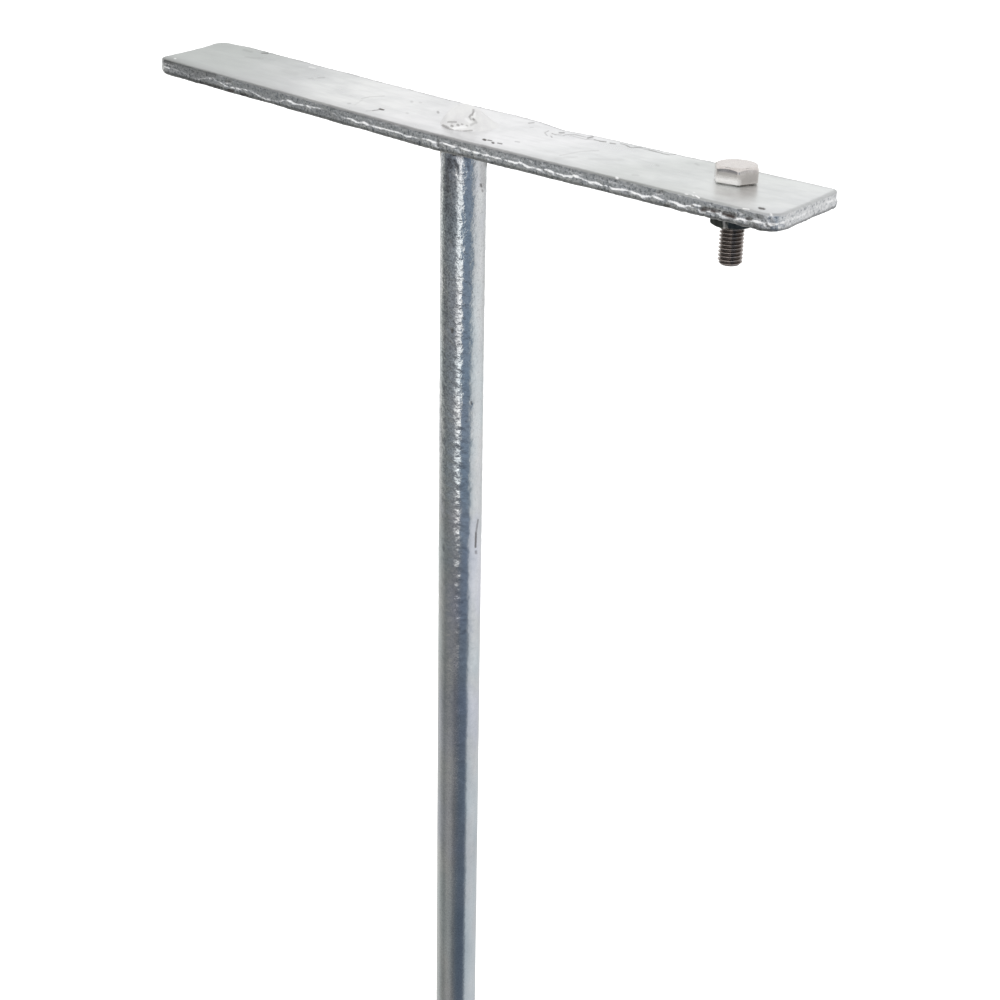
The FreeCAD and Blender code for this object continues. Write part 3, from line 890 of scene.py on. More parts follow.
# Painted highlights at the dome's near foot and by its crease, whose places also stand a little proud
DOME_HIGHLIGHTS = [
    ((453, 128.6), (466, 127.2), 1.2, 0.9), ((461, 127), (464, 126.5), 1.3, 0.9),
    ((474.8, 113), (474.2, 117), 1.3, 0.8), ((466, 119), (470, 122), 1.4, 0.5),
]


def dome_foot(angle):
    """Radius of the dome's foot in directions from -180 to 180 degrees."""
    turns, radii = zip(*DOME_FOOT)
    return np.interp(angle, turns, radii) * MM


def dome_rise(x, y):
    """Height of the dome over the crossbar's top at plan points."""
    away_x = x - DOME_CENTRE[0]
    away_y = y - DOME_CENTRE[1]
    angle = np.degrees(np.arctan2(away_y, away_x))
    share = np.clip(np.hypot(away_x, away_y) / dome_foot(angle), 0, 1)
    flank = DOME_FLANK + DOME_FLANK_SWING * np.cos(np.radians(angle - DOME_LONG_SIDE))
    return DOME_HEIGHT * (1 - share ** 2) ** flank


def in_dome(points):
    """Whether points lie below the dome's or the crossbar's top."""
    return points[:, 2] < bar_top(points[:, 0]) + dome_rise(points[:, 0], points[:, 1])


DOME_DARK = placed_marks(DOME_MARKS_AND_SHADE, in_dome)
DOME_BRIGHT = placed_marks(DOME_HIGHLIGHTS, in_dome)
# The bead under the bar stands out less on the side that faces the camera's left, where it is dark with soot
# and painted shade, and reaches less far down in front
BEAD_SEEN_SIDE = -85.0
BEAD_SEEN_HALF = 100.0
BEAD_SEEN_OUT = 0.40
BEAD_SHORT_SIDE = -45.0
BEAD_SHORT_HALF = 95.0
BEAD_SHORTER = 0.62
SOOT_AND_SHADE_SIDE = -68.0
SOOT_AND_SHADE_HALF = 62.0
SIDE_CORE = 0.55
# Two waves of the bead round the shaft: how close they follow and where their noise is read
BEAD_SWING = (1.9, (4.0, 1.0, 0.0))
BEAD_RIPPLE = (5.5, (0.0, 9.0, 2.0))
BEAD_OUT_SWING = 0.25
BEAD_OUT_RIPPLE = 0.14
BEAD_DOWN_EVEN = 1.05
BEAD_DOWN_SWING = -0.30
BEAD_DOWN_RIPPLE = 0.35
# How hollow its face is, how far it goes into the bar and the shaft, and its lumps: strength, how
# close they follow round it and their size in millimetres down it
BEAD_HOLLOW = 2.3
BEAD_SUNK = 0.25 * MM
BEAD_INNER = SHAFT_RADIUS - 0.8 * MM
BEAD_CLEAR = 0.02 * MM
BEAD_LUMPS = [(1.0, 4, 2.6), (0.7, 9, 1.1)]
BEAD_LUMP_HEIGHT = 0.6 * MM


def side_share(angle, middle, half):
    """How near a direction in degrees lies to another, 1 at it and 0 beyond half a width."""
    turn = abs((angle - middle + 180) % 360 - 180)
    return float(1 - soft_step(turn, half * SIDE_CORE, half))


def turn_noise(facing, waves):
    """Noise round the shaft in one direction."""
    count, shift = waves
    return noise.noise(facing * count + Vector(shift))


def bead_reach(angle, facing):
    """How far the bead reaches out and down in one direction."""
    swing = turn_noise(facing, BEAD_SWING)
    ripple = turn_noise(facing, BEAD_RIPPLE)
    seen = side_share(angle, BEAD_SEEN_SIDE, BEAD_SEEN_HALF)
    front = side_share(angle, BEAD_SHORT_SIDE, BEAD_SHORT_HALF)
    out = BEAD_OUT * (1 + BEAD_OUT_SWING * swing + BEAD_OUT_RIPPLE * ripple)
    down = BEAD_DOWN * (BEAD_DOWN_EVEN + BEAD_DOWN_SWING * swing + BEAD_DOWN_RIPPLE * ripple)
    return out * (1 - (1 - BEAD_SEEN_OUT) * seen), down * (1 - BEAD_SHORTER * front)


def bead_column(angle):
    """Points of the bead in one direction in degrees, from inside the shaft over its face and back."""
    facing = polar(1, math.radians(angle), 0)
    out, down = bead_reach(angle, facing)
    under = float(bar_top((SHAFT_RADIUS + out) * facing.x)) - BAR_THICKNESS
    points = []
    for row in range(BEAD_STEPS + 3):
        share = min(max((row - 1) / BEAD_STEPS, 0.0), 1.0)
        height = under + BEAD_SUNK - (down + BEAD_SUNK) * share
        lump = sum(strength * noise.noise(Vector((facing.x * count, facing.y * count, height / (size * MM))))
                   for strength, count, size in BEAD_LUMPS)
        radius = SHAFT_RADIUS + out * (1 - share) ** BEAD_HOLLOW
        radius += BEAD_LUMP_HEIGHT * lump * (1 - share) * min(1.0, 6 * share)
        radius = max(radius, SHAFT_RADIUS + BEAD_CLEAR)
        if row in (0, BEAD_STEPS + 2):
            radius = BEAD_INNER
        points.append((radius * facing.x, radius * facing.y, height))
    return points


def make_fillet_weld():
    """Hollow-faced bead round the shaft under the crossbar, uneven, running out into the shaft."""
    columns = [bead_column(360 * column / BEAD_COLUMNS) for column in range(BEAD_COLUMNS)]
    points = [point for ring in zip(*columns) for point in ring]
    faces = grid_faces(BEAD_STEPS + 3, BEAD_COLUMNS, loop_rows=True)
    bead = add_piece("fillet_weld_bead", points, faces, "fillet_weld")
    places = vertex_array(bead.data)
    angles = np.degrees(np.arctan2(places[:, 1], places[:, 0]))
    # Soot and painted shade on the side that faces the camera's left
    store(bead.data, "soot_and_shade", [side_share(angle, SOOT_AND_SHADE_SIDE, SOOT_AND_SHADE_HALF) for angle in angles])
    return bead


def dome_relief(points):
    """Lumps and folds of the dome."""
    marks = DOME_HIGHLIGHT_RISE * marks_amount(points, DOME_BRIGHT)
    marks -= DOME_MARK_DEPTH * marks_amount(points, DOME_DARK)
    return MM * (layered(points, DOME_LUMPS) + marks)


def dome_cavity():
    """Rings that close the dome underneath, just clear of the spigot."""
    top = BAR_THICKNESS + SPIGOT_STAND + DOME_GAP
    rows = [(SPIGOT_RADIUS + DOME_GAP, SPIGOT_EDGE), (SPIGOT_END_RADIUS + DOME_GAP, top), (0.0, top)]
    return ring_points(rows, DOME_COLUMNS)


def make_plug_weld():
    """Domed weld on the crossbar's top, folded and rippled at its near foot."""
    facing = ring_points([(1.0, 0.0)], DOME_COLUMNS)[:, :2]
    foot = dome_foot(np.degrees(np.arctan2(facing[:, 1], facing[:, 0])))
    plan = []
    sunk = []
    for step in range(DOME_STEPS + TOE_STEPS + 1):
        past = max(step - DOME_STEPS, 0) / TOE_STEPS
        radius = foot * min(step / DOME_STEPS, 1.0) + TOE_REACH * past
        plan.append(np.array(DOME_CENTRE) + facing * radius[:, None])
        sunk.append(np.full(DOME_COLUMNS, TOE_SUNK * past))
    plan = np.concatenate(plan)
    rise = dome_rise(plan[:, 0], plan[:, 1])
    points = np.column_stack([plan, bar_top(plan[:, 0]) + rise - np.concatenate(sunk)])
    points[:, 2] += dome_relief(points) * soft_step(rise, 0, DOME_FULL_RISE)
    points = np.concatenate([points, dome_cavity()])
    faces = grid_faces(DOME_STEPS + TOE_STEPS + 4, DOME_COLUMNS)
    return add_piece("plug_weld_dome", points, faces, "plug_weld")


# Bolt, nut and washer shapes

# Directions of a hexagon's columns in degrees, from a corner to the middle of a side
HEX_SECTOR = [0.0, 0.8, 1.6, 2.3, 3.0, 4.2, 6.5, 10.0, 15.0, 21.0, 27.0, 30.0]
HEX_SIDE_STEPS = 4
THREAD_ROWS_EACH_PITCH = 14
# Shares of half a pitch taken by the crest's flat half and by the flank
THREAD_CREST = 0.14
THREAD_FLANK = 0.62
# Where the bolt's thread starts under its head, where it is full, and where the nut's starts
THREAD_START = 1.2 * MM
THREAD_FADE = (1.2 * MM, 2.6 * MM)
THREAD_MOUTH = 0.9 * MM
# The shank rounds off under the head by this much
NECK = 0.3 * MM
# Depths under the head over which the shank's look begins
SHANK_SPAN = (0.5 * MM, 2 * MM)
WASHER_STEPS = 120


def hex_angles():
    """Directions round a hexagon in radians, close together at its corners."""
    sector = HEX_SECTOR + [60.0 - value for value in reversed(HEX_SECTOR[1:-1])]
    return [math.radians(60 * side + value) for side in range(6) for value in sector]


def hex_radius(angle):
    """Distance from the axis to the side of a hexagon with turned corners."""
    turn = angle % (math.pi / 3) - math.pi / 6
    return min(HEX_HALF_FLATS / math.cos(turn), HEX_HALF_CORNERS)


def hex_drop(radius):
    """How far the chamfer has come down at one radius."""
    return max(0.0, radius - HEX_FLAT_RADIUS) * math.tan(math.radians(HEX_CHAMFER))


def thread_radius(angle, height):
    """Radius of a metric thread in one direction at one height."""
    phase = (height / THREAD_PITCH - angle / (2 * math.pi)) % 1.0
    away = abs(phase - 0.5) * 2
    flank = min(max((away - THREAD_CREST) / THREAD_FLANK, 0.0), 1.0)
    return THREAD_OUTER - (THREAD_OUTER - THREAD_ROOT) * flank


def hex_side_rows(angle, top, bottom):
    """Rows down one side of a head between two heights: chamfer, bevel, side."""
    radius = hex_radius(angle)
    edge = top - hex_drop(radius)
    bevel = HEX_BEVEL
    rows = [(HEX_FLAT_RADIUS - 0.5 * MM, top), (HEX_FLAT_RADIUS - 0.1 * MM, top - 0.005 * MM)]
    rows += [(HEX_FLAT_RADIUS + 0.15 * MM, top - hex_drop(HEX_FLAT_RADIUS + 0.15 * MM))]
    rows += [(radius - bevel, edge + bevel * 0.5), (radius - bevel * 0.55, edge + bevel * 0.12)]
    rows += [(radius - bevel * 0.2, edge - bevel * 0.35), (radius, edge - bevel)]
    span = edge - bevel - (bottom + bevel)
    return rows + [(radius, edge - bevel - span * step / HEX_SIDE_STEPS)
                   for step in range(1, HEX_SIDE_STEPS + 1)]


def placed(rows_at, angles, turn):
    """Points of a piece made of rows of radius and height, turned and put on the bolt's axis."""
    matrix = bolt_matrix() @ Matrix.Rotation(math.radians(turn), 4, "Z")
    columns = [rows_at(angle) for angle in angles]
    points = [matrix @ polar(radius, angle, height)
              for row in zip(*columns) for angle, (radius, height) in zip(angles, row)]
    return points, len(columns[0])


def bolt_rows(angle):
    """Rows of the bolt in one direction, from the middle of the head to the thread's end."""
    radius = hex_radius(angle)
    bevel = HEX_BEVEL
    low = WASHER_FACE_HEIGHT
    rows = [(0.0, HEAD_HEIGHT), (2.5 * MM, HEAD_HEIGHT), (4.5 * MM, HEAD_HEIGHT)]
    rows += hex_side_rows(angle, HEAD_HEIGHT, low)
    rows += [(radius - bevel * 0.3, low + bevel * 0.3), (radius - bevel, low), (WASHER_FACE_RADIUS, low)]
    rows += [(WASHER_FACE_RADIUS, 0.0), (THREAD_OUTER + NECK, 0.0), (THREAD_OUTER, -NECK)]
    length = BOLT_LENGTH - THREAD_START
    steps = round(length / THREAD_PITCH * THREAD_ROWS_EACH_PITCH)
    for step in range(steps + 1):
        height = -THREAD_START - length * step / steps
        fade = float(soft_step(-height, *THREAD_FADE))
        cut = thread_radius(angle, height)
        chamfer = THREAD_OUTER - max(0.0, THREAD_END_CHAMFER - (height + BOLT_LENGTH))
        rows.append((min(THREAD_OUTER + (cut - THREAD_OUTER) * fade, chamfer), height))
    return rows + [(1.2 * MM, -BOLT_LENGTH), (0.0, -BOLT_LENGTH)]


def nut_rows(angle):
    """Rows of the nut in one direction: down its outside and up its bore."""
    middle = (NUT_TOP + NUT_BOTTOM) / 2
    down = hex_side_rows(angle, NUT_TOP, middle)[:-HEX_SIDE_STEPS]
    outer = [(NUT_MOUTH, NUT_TOP), (5.2 * MM, NUT_TOP)] + down
    mirrored = [(radius, 2 * middle - height) for radius, height in reversed(outer)]
    bore = THREAD_ROOT + THREAD_GAP
    mouth = (NUT_MOUTH - bore) / 2
    rows = outer + [(outer[-1][0], middle)] + mirrored + [(bore + mouth, NUT_BOTTOM + mouth)]
    steps = round(NUT_HEIGHT / THREAD_PITCH * THREAD_ROWS_EACH_PITCH)
    turn = math.radians(NUT_TURN - HEAD_TURN)
    for step in range(steps + 1):
        height = NUT_BOTTOM + THREAD_MOUTH + (NUT_HEIGHT - 2 * THREAD_MOUTH) * step / steps
        rows.append((thread_radius(angle + turn, height) + THREAD_GAP, height))
    return rows + [(bore + mouth, NUT_TOP - mouth)]


def make_bolt():
    """Hexagon bolt with its washer face and its cut thread."""
    angles = hex_angles()
    points, rows = placed(bolt_rows, angles, HEAD_TURN)
    bolt = add_piece("hex_bolt_m8", points, grid_faces(rows, len(angles)), "hex_bolt")
    back = np.array(bolt_matrix().inverted())
    local = vertex_array(bolt.data) @ back[:3, :3].T + back[:3, 3]
    radius = np.hypot(local[:, 0], local[:, 1])
    shank = soft_step(-local[:, 2], *SHANK_SPAN)
    # Painted shade in the thread's grooves, by their depth
    groove = np.clip((THREAD_OUTER - radius) / (THREAD_OUTER - THREAD_ROOT), 0, 1)
    store(bolt.data, "shank", shank)
    store(bolt.data, "groove", groove * shank)
    return bolt


# Painted highlights on the lower half and edges of the head's left face, and painted shade on the thread's
# right side and the head's right face, in pixels
HEAD_HIGHLIGHTS = [
    ((717, 180.6), (736, 183.9), 4.4, 0.95), ((717, 171.6), (727, 170.8), 1.3, 0.8),
    ((727, 170.8), (737.5, 175.4), 1.3, 0.8), ((738.2, 175.5), (738.3, 186), 1.3, 0.80),
    ((716.6, 172), (716.7, 181), 1.0, 0.50),
]
THREAD_AND_HEAD_SHADE = [((740.5, 229), (740, 263), 5.0, 0.50), ((744.5, 181), (754, 178.5), 5.0, 0.22)]
# Painted highlight on the nut's corner edge, in the photograph's pixels
NUT_HIGHLIGHTS = [((723.6, 217), (724.2, 229), 1.0, 0.85), ((724, 224), (727, 229), 1.2, 0.4)]


def in_bolt(points):
    """Whether points lie inside the bolt's head or its shank."""
    axis = bolt_matrix().translation
    radius = np.where(points[:, 2] > 0, HEX_HALF_CORNERS, THREAD_OUTER)
    inside = np.hypot(points[:, 0] - axis.x, points[:, 1] - axis.y) < radius
    return inside & (points[:, 2] < HEAD_HEIGHT)


def in_nut(points):
    """Whether points lie inside the nut's round core."""
    axis = bolt_matrix().translation
    return np.hypot(points[:, 0] - axis.x, points[:, 1] - axis.y) < HEX_HALF_FLATS


NUT_BRIGHT = placed_marks(NUT_HIGHLIGHTS, in_nut)
BOLT_BRIGHT = placed_marks(HEAD_HIGHLIGHTS, in_bolt)
BOLT_DARK = placed_marks(THREAD_AND_HEAD_SHADE, in_bolt)


def make_nut():
    """Hexagon nut with chamfered faces and a threaded bore."""
    angles = hex_angles()
    points, rows = placed(nut_rows, angles, NUT_TURN)
    faces = grid_faces(rows, len(angles), loop_rows=True)
    return add_piece("hex_nut_m8", points, faces, "hex_nut")


def washer_section():
    """Outline of the spring washer's section with its edges eased, as radius and height."""
    top = NUT_TOP + WASHER_THICKNESS
    ease = WASHER_BEVEL
    return [
        (WASHER_INNER + ease, top), (WASHER_OUTER - ease, top), (WASHER_OUTER - 0.3 * ease, top - 0.3 * ease),
        (WASHER_OUTER, top - ease), (WASHER_OUTER, NUT_TOP + ease),
        (WASHER_OUTER - 0.3 * ease, NUT_TOP + 0.3 * ease), (WASHER_OUTER - ease, NUT_TOP),
        (WASHER_INNER + ease, NUT_TOP), (WASHER_INNER, NUT_TOP + ease), (WASHER_INNER, top - ease),
    ]


def make_spring_washer():
    """Split ring with eased edges and a leaning slit."""
    section = washer_section()
    middle = NUT_TOP + WASHER_THICKNESS / 2
    matrix = bolt_matrix() @ Matrix.Rotation(math.radians(WASHER_TURN), 4, "Z")
    points = []
    for step in range(WASHER_STEPS + 1):
        for radius, height in section:
            lean = (height - middle) * math.tan(math.radians(WASHER_LEAN))
            start = (WASHER_SLIT / 2 - lean) / radius
            sweep = 2 * math.pi - WASHER_SLIT / radius
            points.append(matrix @ polar(radius, start + sweep * step / WASHER_STEPS, height))
    faces = grid_faces(WASHER_STEPS + 1, len(section))
    last = WASHER_STEPS * len(section)
    faces.append(tuple(range(len(section))))
    faces.append(tuple(last + place for place in range(len(section))))
    return add_piece("spring_washer_m8", points, faces, "spring_washer")


# Materials

WHITE = (1.0, 1.0, 1.0)
# Colour of stains and of painted shade, and colour of painted highlights and glints
STAIN_AND_SHADE_COLOUR = (0.045, 0.034, 0.030)
HIGHLIGHT_COLOUR = (0.97, 0.97, 0.97)
# How far the marks' outlines waver, and how fine
MARK_UNEVEN = 0.30 * MM
MARK_GRAIN = 0.7 * MM
# Noise lies mostly between these values
NOISE_LOW = 0.3
NOISE_HIGH = 0.7
# Reach of the crossbar's colours from its middle, heights over which the shaft grows rough, and places
# across the picture over which the grain and painted glints on its left side fade
COLOUR_REACH = 150 * MM
SHAFT_SMOOTH_BELOW = -160 * MM
SHAFT_ROUGH_ABOVE = -30 * MM
GRIT_AND_GLINT_FULL = -3.0 * MM
GRIT_AND_GLINT_FADED = -1.0 * MM
# Darkness from which a mark on bare zinc stops looking like metal, and how much metal is left
DARK_MARK_START = 0.6
DARK_MARK_METAL = 0.1


def new_material(name):
    """Material with one principled shader, and its node tree."""
    material = bpy.data.materials.new(name)
    material.use_nodes = True
    return material, material.node_tree


def fill(tree, socket, value):
    """Give an input a socket to follow, a number, a vector or a colour."""
    if isinstance(value, bpy.types.NodeSocket):
        tree.links.new(value, socket)
    elif socket.type == "RGBA":
        socket.default_value = (*value, 1.0)
    else:
        socket.default_value = value


def node_with(tree, kind, inputs):
    """New node with its inputs filled, each given by its name or place."""
    node = tree.nodes.new(kind)
    for name, value in inputs.items():
        fill(tree, node.inputs[name], value)
    return node


def set_shader(tree, colour, roughness, metallic, normal):
    """Wire a material's colour, roughness, metallic share and normal to its shader."""
    shader = tree.nodes["Principled BSDF"]
    fill(tree, shader.inputs["Base Color"], colour)
    fill(tree, shader.inputs["Roughness"], roughness)
    fill(tree, shader.inputs["Metallic"], metallic)
    fill(tree, shader.inputs["Normal"], normal)


def place_socket(tree):
    """Place on the object in the row frame."""
    return tree.nodes.new("ShaderNodeTexCoord").outputs["Object"]


def noise_socket(tree, place, size, detail=2.0, roughness=0.5, stretch=(1, 1, 1)):
    """Noise from 0 to 1 with features about that size in millimetres."""
    mapping = node_with(tree, "ShaderNodeMapping", {"Vector": place, "Scale": stretch})
    texture = node_with(tree, "ShaderNodeTexNoise", {
        "Vector": mapping.outputs["Vector"], "Scale": 1 / (size * MM), "Detail": detail,
        "Roughness": roughness})
    return texture.outputs["Fac"]


def attribute_socket(tree, name):
    """A number kept on the mesh's points."""
    node = tree.nodes.new("ShaderNodeAttribute")
    node.attribute_name = name
    return node.outputs["Fac"]


def ramp_socket(tree, factor, stops):
    """Colour ramp from a list of places and colours."""
    node = tree.nodes.new("ShaderNodeValToRGB")
    elements = node.color_ramp.elements
    while len(elements) < len(stops):
        elements.new(0.5)
    for element, (place, colour) in zip(elements, stops):
        element.position = place
        element.color = (*colour, 1.0)
    tree.links.new(factor, node.inputs["Fac"])
    return node.outputs["Color"]


def range_socket(tree, value, low, high, to_low, to_high):
    """Value moved from one range to another, clamped."""
    node = node_with(tree, "ShaderNodeMapRange", {
        "Value": value, "From Min": low, "From Max": high, "To Min": to_low, "To Max": to_high})
    return node.outputs["Result"]


def varied_socket(tree, texture, low, high):
    """Value that varies between two others with a noise."""
    return range_socket(tree, texture, NOISE_LOW, NOISE_HIGH, low, high)


def marked_socket(tree, mark, clean, marked, start=0.0):
    """Value that goes from clean to marked with the amount of a mark, which counts from start."""
    return range_socket(tree, mark, start, 1, clean, marked)


def mix_socket(tree, factor, first, second, kind="MIX"):
    """Mix of two colours, each a socket or plain numbers."""
    node = tree.nodes.new("ShaderNodeMix")
    node.data_type = "RGBA"
    node.blend_type = kind
    # Inputs for other kinds of data have the same names, so the colours' are called by place
    for value, place in ((factor, 0), (first, 6), (second, 7)):
        fill(tree, node.inputs[place], value)
    return node.outputs[2]


def times_socket(tree, first, second):
    """Product of two colours."""
    return mix_socket(tree, 1.0, first, second, "MULTIPLY")


def maths_socket(tree, operation, *values):
    """Sum, product or other operation on sockets or numbers."""
    node = tree.nodes.new("ShaderNodeMath")
    node.operation = operation
    for value, socket in zip(values, node.inputs):
        fill(tree, socket, value)
    return node.outputs["Value"]


def vector_socket(tree, operation, *values):
    """Vector operation on sockets or plain numbers, with the factor last for a scaling."""
    node = tree.nodes.new("ShaderNodeVectorMath")
    node.operation = operation
    sockets = [node.inputs[0], node.inputs["Scale"]] if operation == "SCALE" else node.inputs
    for value, socket in zip(values, sockets):
        fill(tree, socket, value)
    return node.outputs["Value" if operation in ("DOT_PRODUCT", "DISTANCE") else "Vector"]


def axis_socket(tree, place, axis):
    """One coordinate of a place."""
    return node_with(tree, "ShaderNodeSeparateXYZ", {"Vector": place}).outputs[axis]


def mark_place(tree, place):
    """Place as marks are measured, a little uneven."""
    texture = node_with(tree, "ShaderNodeTexNoise", {"Vector": place, "Scale": 1 / MARK_GRAIN})
    shift = vector_socket(tree, "SUBTRACT", texture.outputs["Color"], (0.5, 0.5, 0.5))
    place = vector_socket(tree, "ADD", place, vector_socket(tree, "SCALE", shift, MARK_UNEVEN))
    joined = tree.nodes.new("ShaderNodeCombineXYZ")
    for axis, socket in zip(MARK_AXES.tolist(), joined.inputs):
        fill(tree, socket, vector_socket(tree, "DOT_PRODUCT", place, axis))
    return joined.outputs["Vector"]


def mark_socket(tree, seen, marks):
    """Amount of marks at a place, the strongest where several lie."""
    total = 0.0
    for start, end, half_width, amount in marks:
        direction = end - start
        length = max(float(direction @ direction), SHORTEST_MARK)
        away = vector_socket(tree, "SUBTRACT", seen, start.tolist())
        share = vector_socket(tree, "DOT_PRODUCT", away, (direction / length).tolist())
        share = range_socket(tree, share, 0, 1, 0, 1)
        along = vector_socket(tree, "SCALE", direction.tolist(), share)
        distance = vector_socket(tree, "DISTANCE", away, along)
        mark = range_socket(tree, distance, half_width * MARK_CORE, half_width * MARK_RIM, amount, 0)
        total = maths_socket(tree, "MAXIMUM", total, mark)
        # The next mark waits for this one, so that few values are held at a time
        seen = vector_socket(tree, "MULTIPLY_ADD", total, (0, 0, 0), seen)
    return total


def bump_socket(tree, height, distance, strength, before=None):
    """Normal with fine relief of a depth in millimetres, over an earlier one if given."""
    inputs = {"Height": height, "Distance": distance * MM, "Strength": strength}
    if before is not None:
        inputs["Normal"] = before
    return node_with(tree, "ShaderNodeBump", inputs).outputs["Normal"]


def bar_material():
    """Satin zinc, dull at the left end and brightest by the weld, rougher and bluer on its edges, with
    painted shade on its rolled edges and foot and painted highlights on the run's shelf and the top's front
    border.
    """
    material, tree = new_material("zinc_bar")
    place = place_socket(tree)
    seen = mark_place(tree, place)
    dark = mark_socket(tree, seen, BAR_TOP_MARKS + BAR_FRONT_MARKS)
    # Painted highlights on the top's front border and its front right corner
    top_highlight = mark_socket(tree, seen, BAR_TOP_HIGHLIGHTS)
    broad = noise_socket(tree, place, 34, 2.0, 0.5, (0.6, 1, 1))
    clouds = noise_socket(tree, place, 9, 3.0, 0.6, (0.7, 1, 1))
    streaks = noise_socket(tree, place, 2.6, 3.0, 0.55, (0.16, 1, 1))
    speckle = noise_socket(tree, place, 0.9, 3.0, 0.65)
    grain = noise_socket(tree, place, 0.8, 3.0, 0.6)
    runs = noise_socket(tree, place, 2.6, 2.0)
    top = attribute_socket(tree, "top")
    along = range_socket(tree, axis_socket(tree, place, "X"), -COLOUR_REACH, COLOUR_REACH, 0, 1)
    along = maths_socket(tree, "ADD", along, varied_socket(tree, broad, -0.05, 0.05))
    colour = ramp_socket(tree, along, [
        (0.00, (0.45, 0.475, 0.455)), (0.11, (0.50, 0.525, 0.51)), (0.15, (0.53, 0.55, 0.54)),
        (0.20, (0.62, 0.63, 0.63)), (0.26, (0.74, 0.75, 0.745)), (0.32, (0.83, 0.835, 0.83)),
        (0.44, (0.855, 0.855, 0.86)), (0.63, (0.89, 0.89, 0.90)), (0.70, (0.83, 0.84, 0.84)),
        (0.76, (0.80, 0.815, 0.81)), (0.82, (0.71, 0.73, 0.715)), (0.92, (0.78, 0.795, 0.79)),
        (1.00, (0.77, 0.78, 0.79))])
    mottle = ramp_socket(tree, clouds, [(0.34, (0.86, 0.865, 0.87)), (0.60, WHITE)])
    colour = times_socket(tree, colour, mottle)
    lines = ramp_socket(tree, streaks, [(0.30, (0.945, 0.945, 0.945)), (0.55, WHITE)])
    colour = times_socket(tree, colour, lines)
    side = ramp_socket(tree, speckle, [(0.34, (0.38, 0.40, 0.42)), (0.48, (0.84, 0.855, 0.87)),
                                       (0.66, (0.99, 0.99, 0.99))])
    colour = mix_socket(tree, top, side, colour)
    # Painted shade from the crossbar's points darkens the colour
    colour = times_socket(tree, colour, attribute_socket(tree, "shade"))
    # Painted highlight on the shelf above the run's crest, and the top's painted highlights, turn near white
    shelf = maths_socket(tree, "MULTIPLY", attribute_socket(tree, "shelf"), 0.7)
    bright = maths_socket(tree, "MAXIMUM", shelf, top_highlight)
    colour = mix_socket(tree, bright, colour, HIGHLIGHT_COLOUR)
    colour = mix_socket(tree, dark, colour, STAIN_AND_SHADE_COLOUR)
    shine = maths_socket(tree, "ADD", varied_socket(tree, clouds, 0.27, 0.36),
                         marked_socket(tree, dark, 0, 0.30))
    rough = range_socket(tree, top, 0, 1, 1.0, 0.09)
    normal = bump_socket(tree, grain, 0.20, rough, bump_socket(tree, runs, 0.30, rough))
    metal = marked_socket(tree, dark, 1.0, DARK_MARK_METAL, DARK_MARK_START)
    set_shader(tree, colour, shine, metal, normal)
    return material


def shaft_material():
    """Glossy grainy zinc, roughest near its top, with dark flecks, a blue and green cast, painted glints and
    painted shade under the crossbar.
    """
    material, tree = new_material("zinc_shaft")
    place = place_socket(tree)
    seen = mark_place(tree, place)
    dark = mark_socket(tree, seen, SHAFT_DARK)
    patches = noise_socket(tree, place, 9, 3.0, 0.6, (1, 1, 0.4))
    cast = noise_socket(tree, place, 16, 2.0, 0.5, (1, 1, 0.5))
    flecks = noise_socket(tree, place, 1.1, 3.0, 0.6)
    grain = noise_socket(tree, place, 0.7, 3.0, 0.6)
    lumps = noise_socket(tree, place, 1.7, 2.0)
    height = axis_socket(tree, place, "Z")
    rough = range_socket(tree, height, SHAFT_SMOOTH_BELOW, SHAFT_ROUGH_ABOVE, 0.22, 1.0)
    colour = ramp_socket(tree, patches, [(0.3, (0.61, 0.63, 0.645)), (0.7, (0.75, 0.76, 0.765))])
    tint = ramp_socket(tree, cast, [(0.35, (0.95, 1.0, 1.02)), (0.5, WHITE),
                                    (0.65, (0.96, 0.97, 1.04))])
    colour = times_socket(tree, colour, tint)
    speck = range_socket(tree, flecks, 0.32, 0.44, 0.40, 0.0)
    speck = maths_socket(tree, "MULTIPLY", speck, rough)
    colour = mix_socket(tree, speck, colour, (0.30, 0.31, 0.33))
    # Grain with painted glints on the side that faces the camera's left, fading towards its right
    across = vector_socket(tree, "DOT_PRODUCT", place, MARK_AXES[0].tolist())
    grit_and_glint_share = range_socket(tree, across, GRIT_AND_GLINT_FULL, GRIT_AND_GLINT_FADED, 1.0, 0.15)
    grit_and_glint_share = maths_socket(tree, "MULTIPLY", grit_and_glint_share, rough)
    grit_and_glints = ramp_socket(tree, grain, [(0.36, (0.50, 0.51, 0.53)), (0.50, (0.96, 0.97, 0.98)),
                                     (0.66, (1.30, 1.30, 1.28))])
    colour = mix_socket(tree, grit_and_glint_share, colour, times_socket(tree, colour, grit_and_glints))
    # Painted shade under the crossbar
    heat = maths_socket(tree, "MULTIPLY", attribute_socket(tree, "heat"), 0.8)
    colour = mix_socket(tree, heat, colour, (0.36, 0.35, 0.34))
    # Painted glints
    colour = mix_socket(tree, mark_socket(tree, seen, SHAFT_BRIGHT), colour, HIGHLIGHT_COLOUR)
    # Slits and pits, and painted shade under the crossbar and down the left side near the top
    colour = mix_socket(tree, dark, colour, STAIN_AND_SHADE_COLOUR)
    shine = varied_socket(tree, patches, 0.10, 0.17)
    normal = bump_socket(tree, grain, 0.075, rough, bump_socket(tree, lumps, 0.20, rough))
    metal = marked_socket(tree, dark, 1.0, DARK_MARK_METAL, DARK_MARK_START)
    set_shader(tree, colour, shine, metal, normal)
    return material


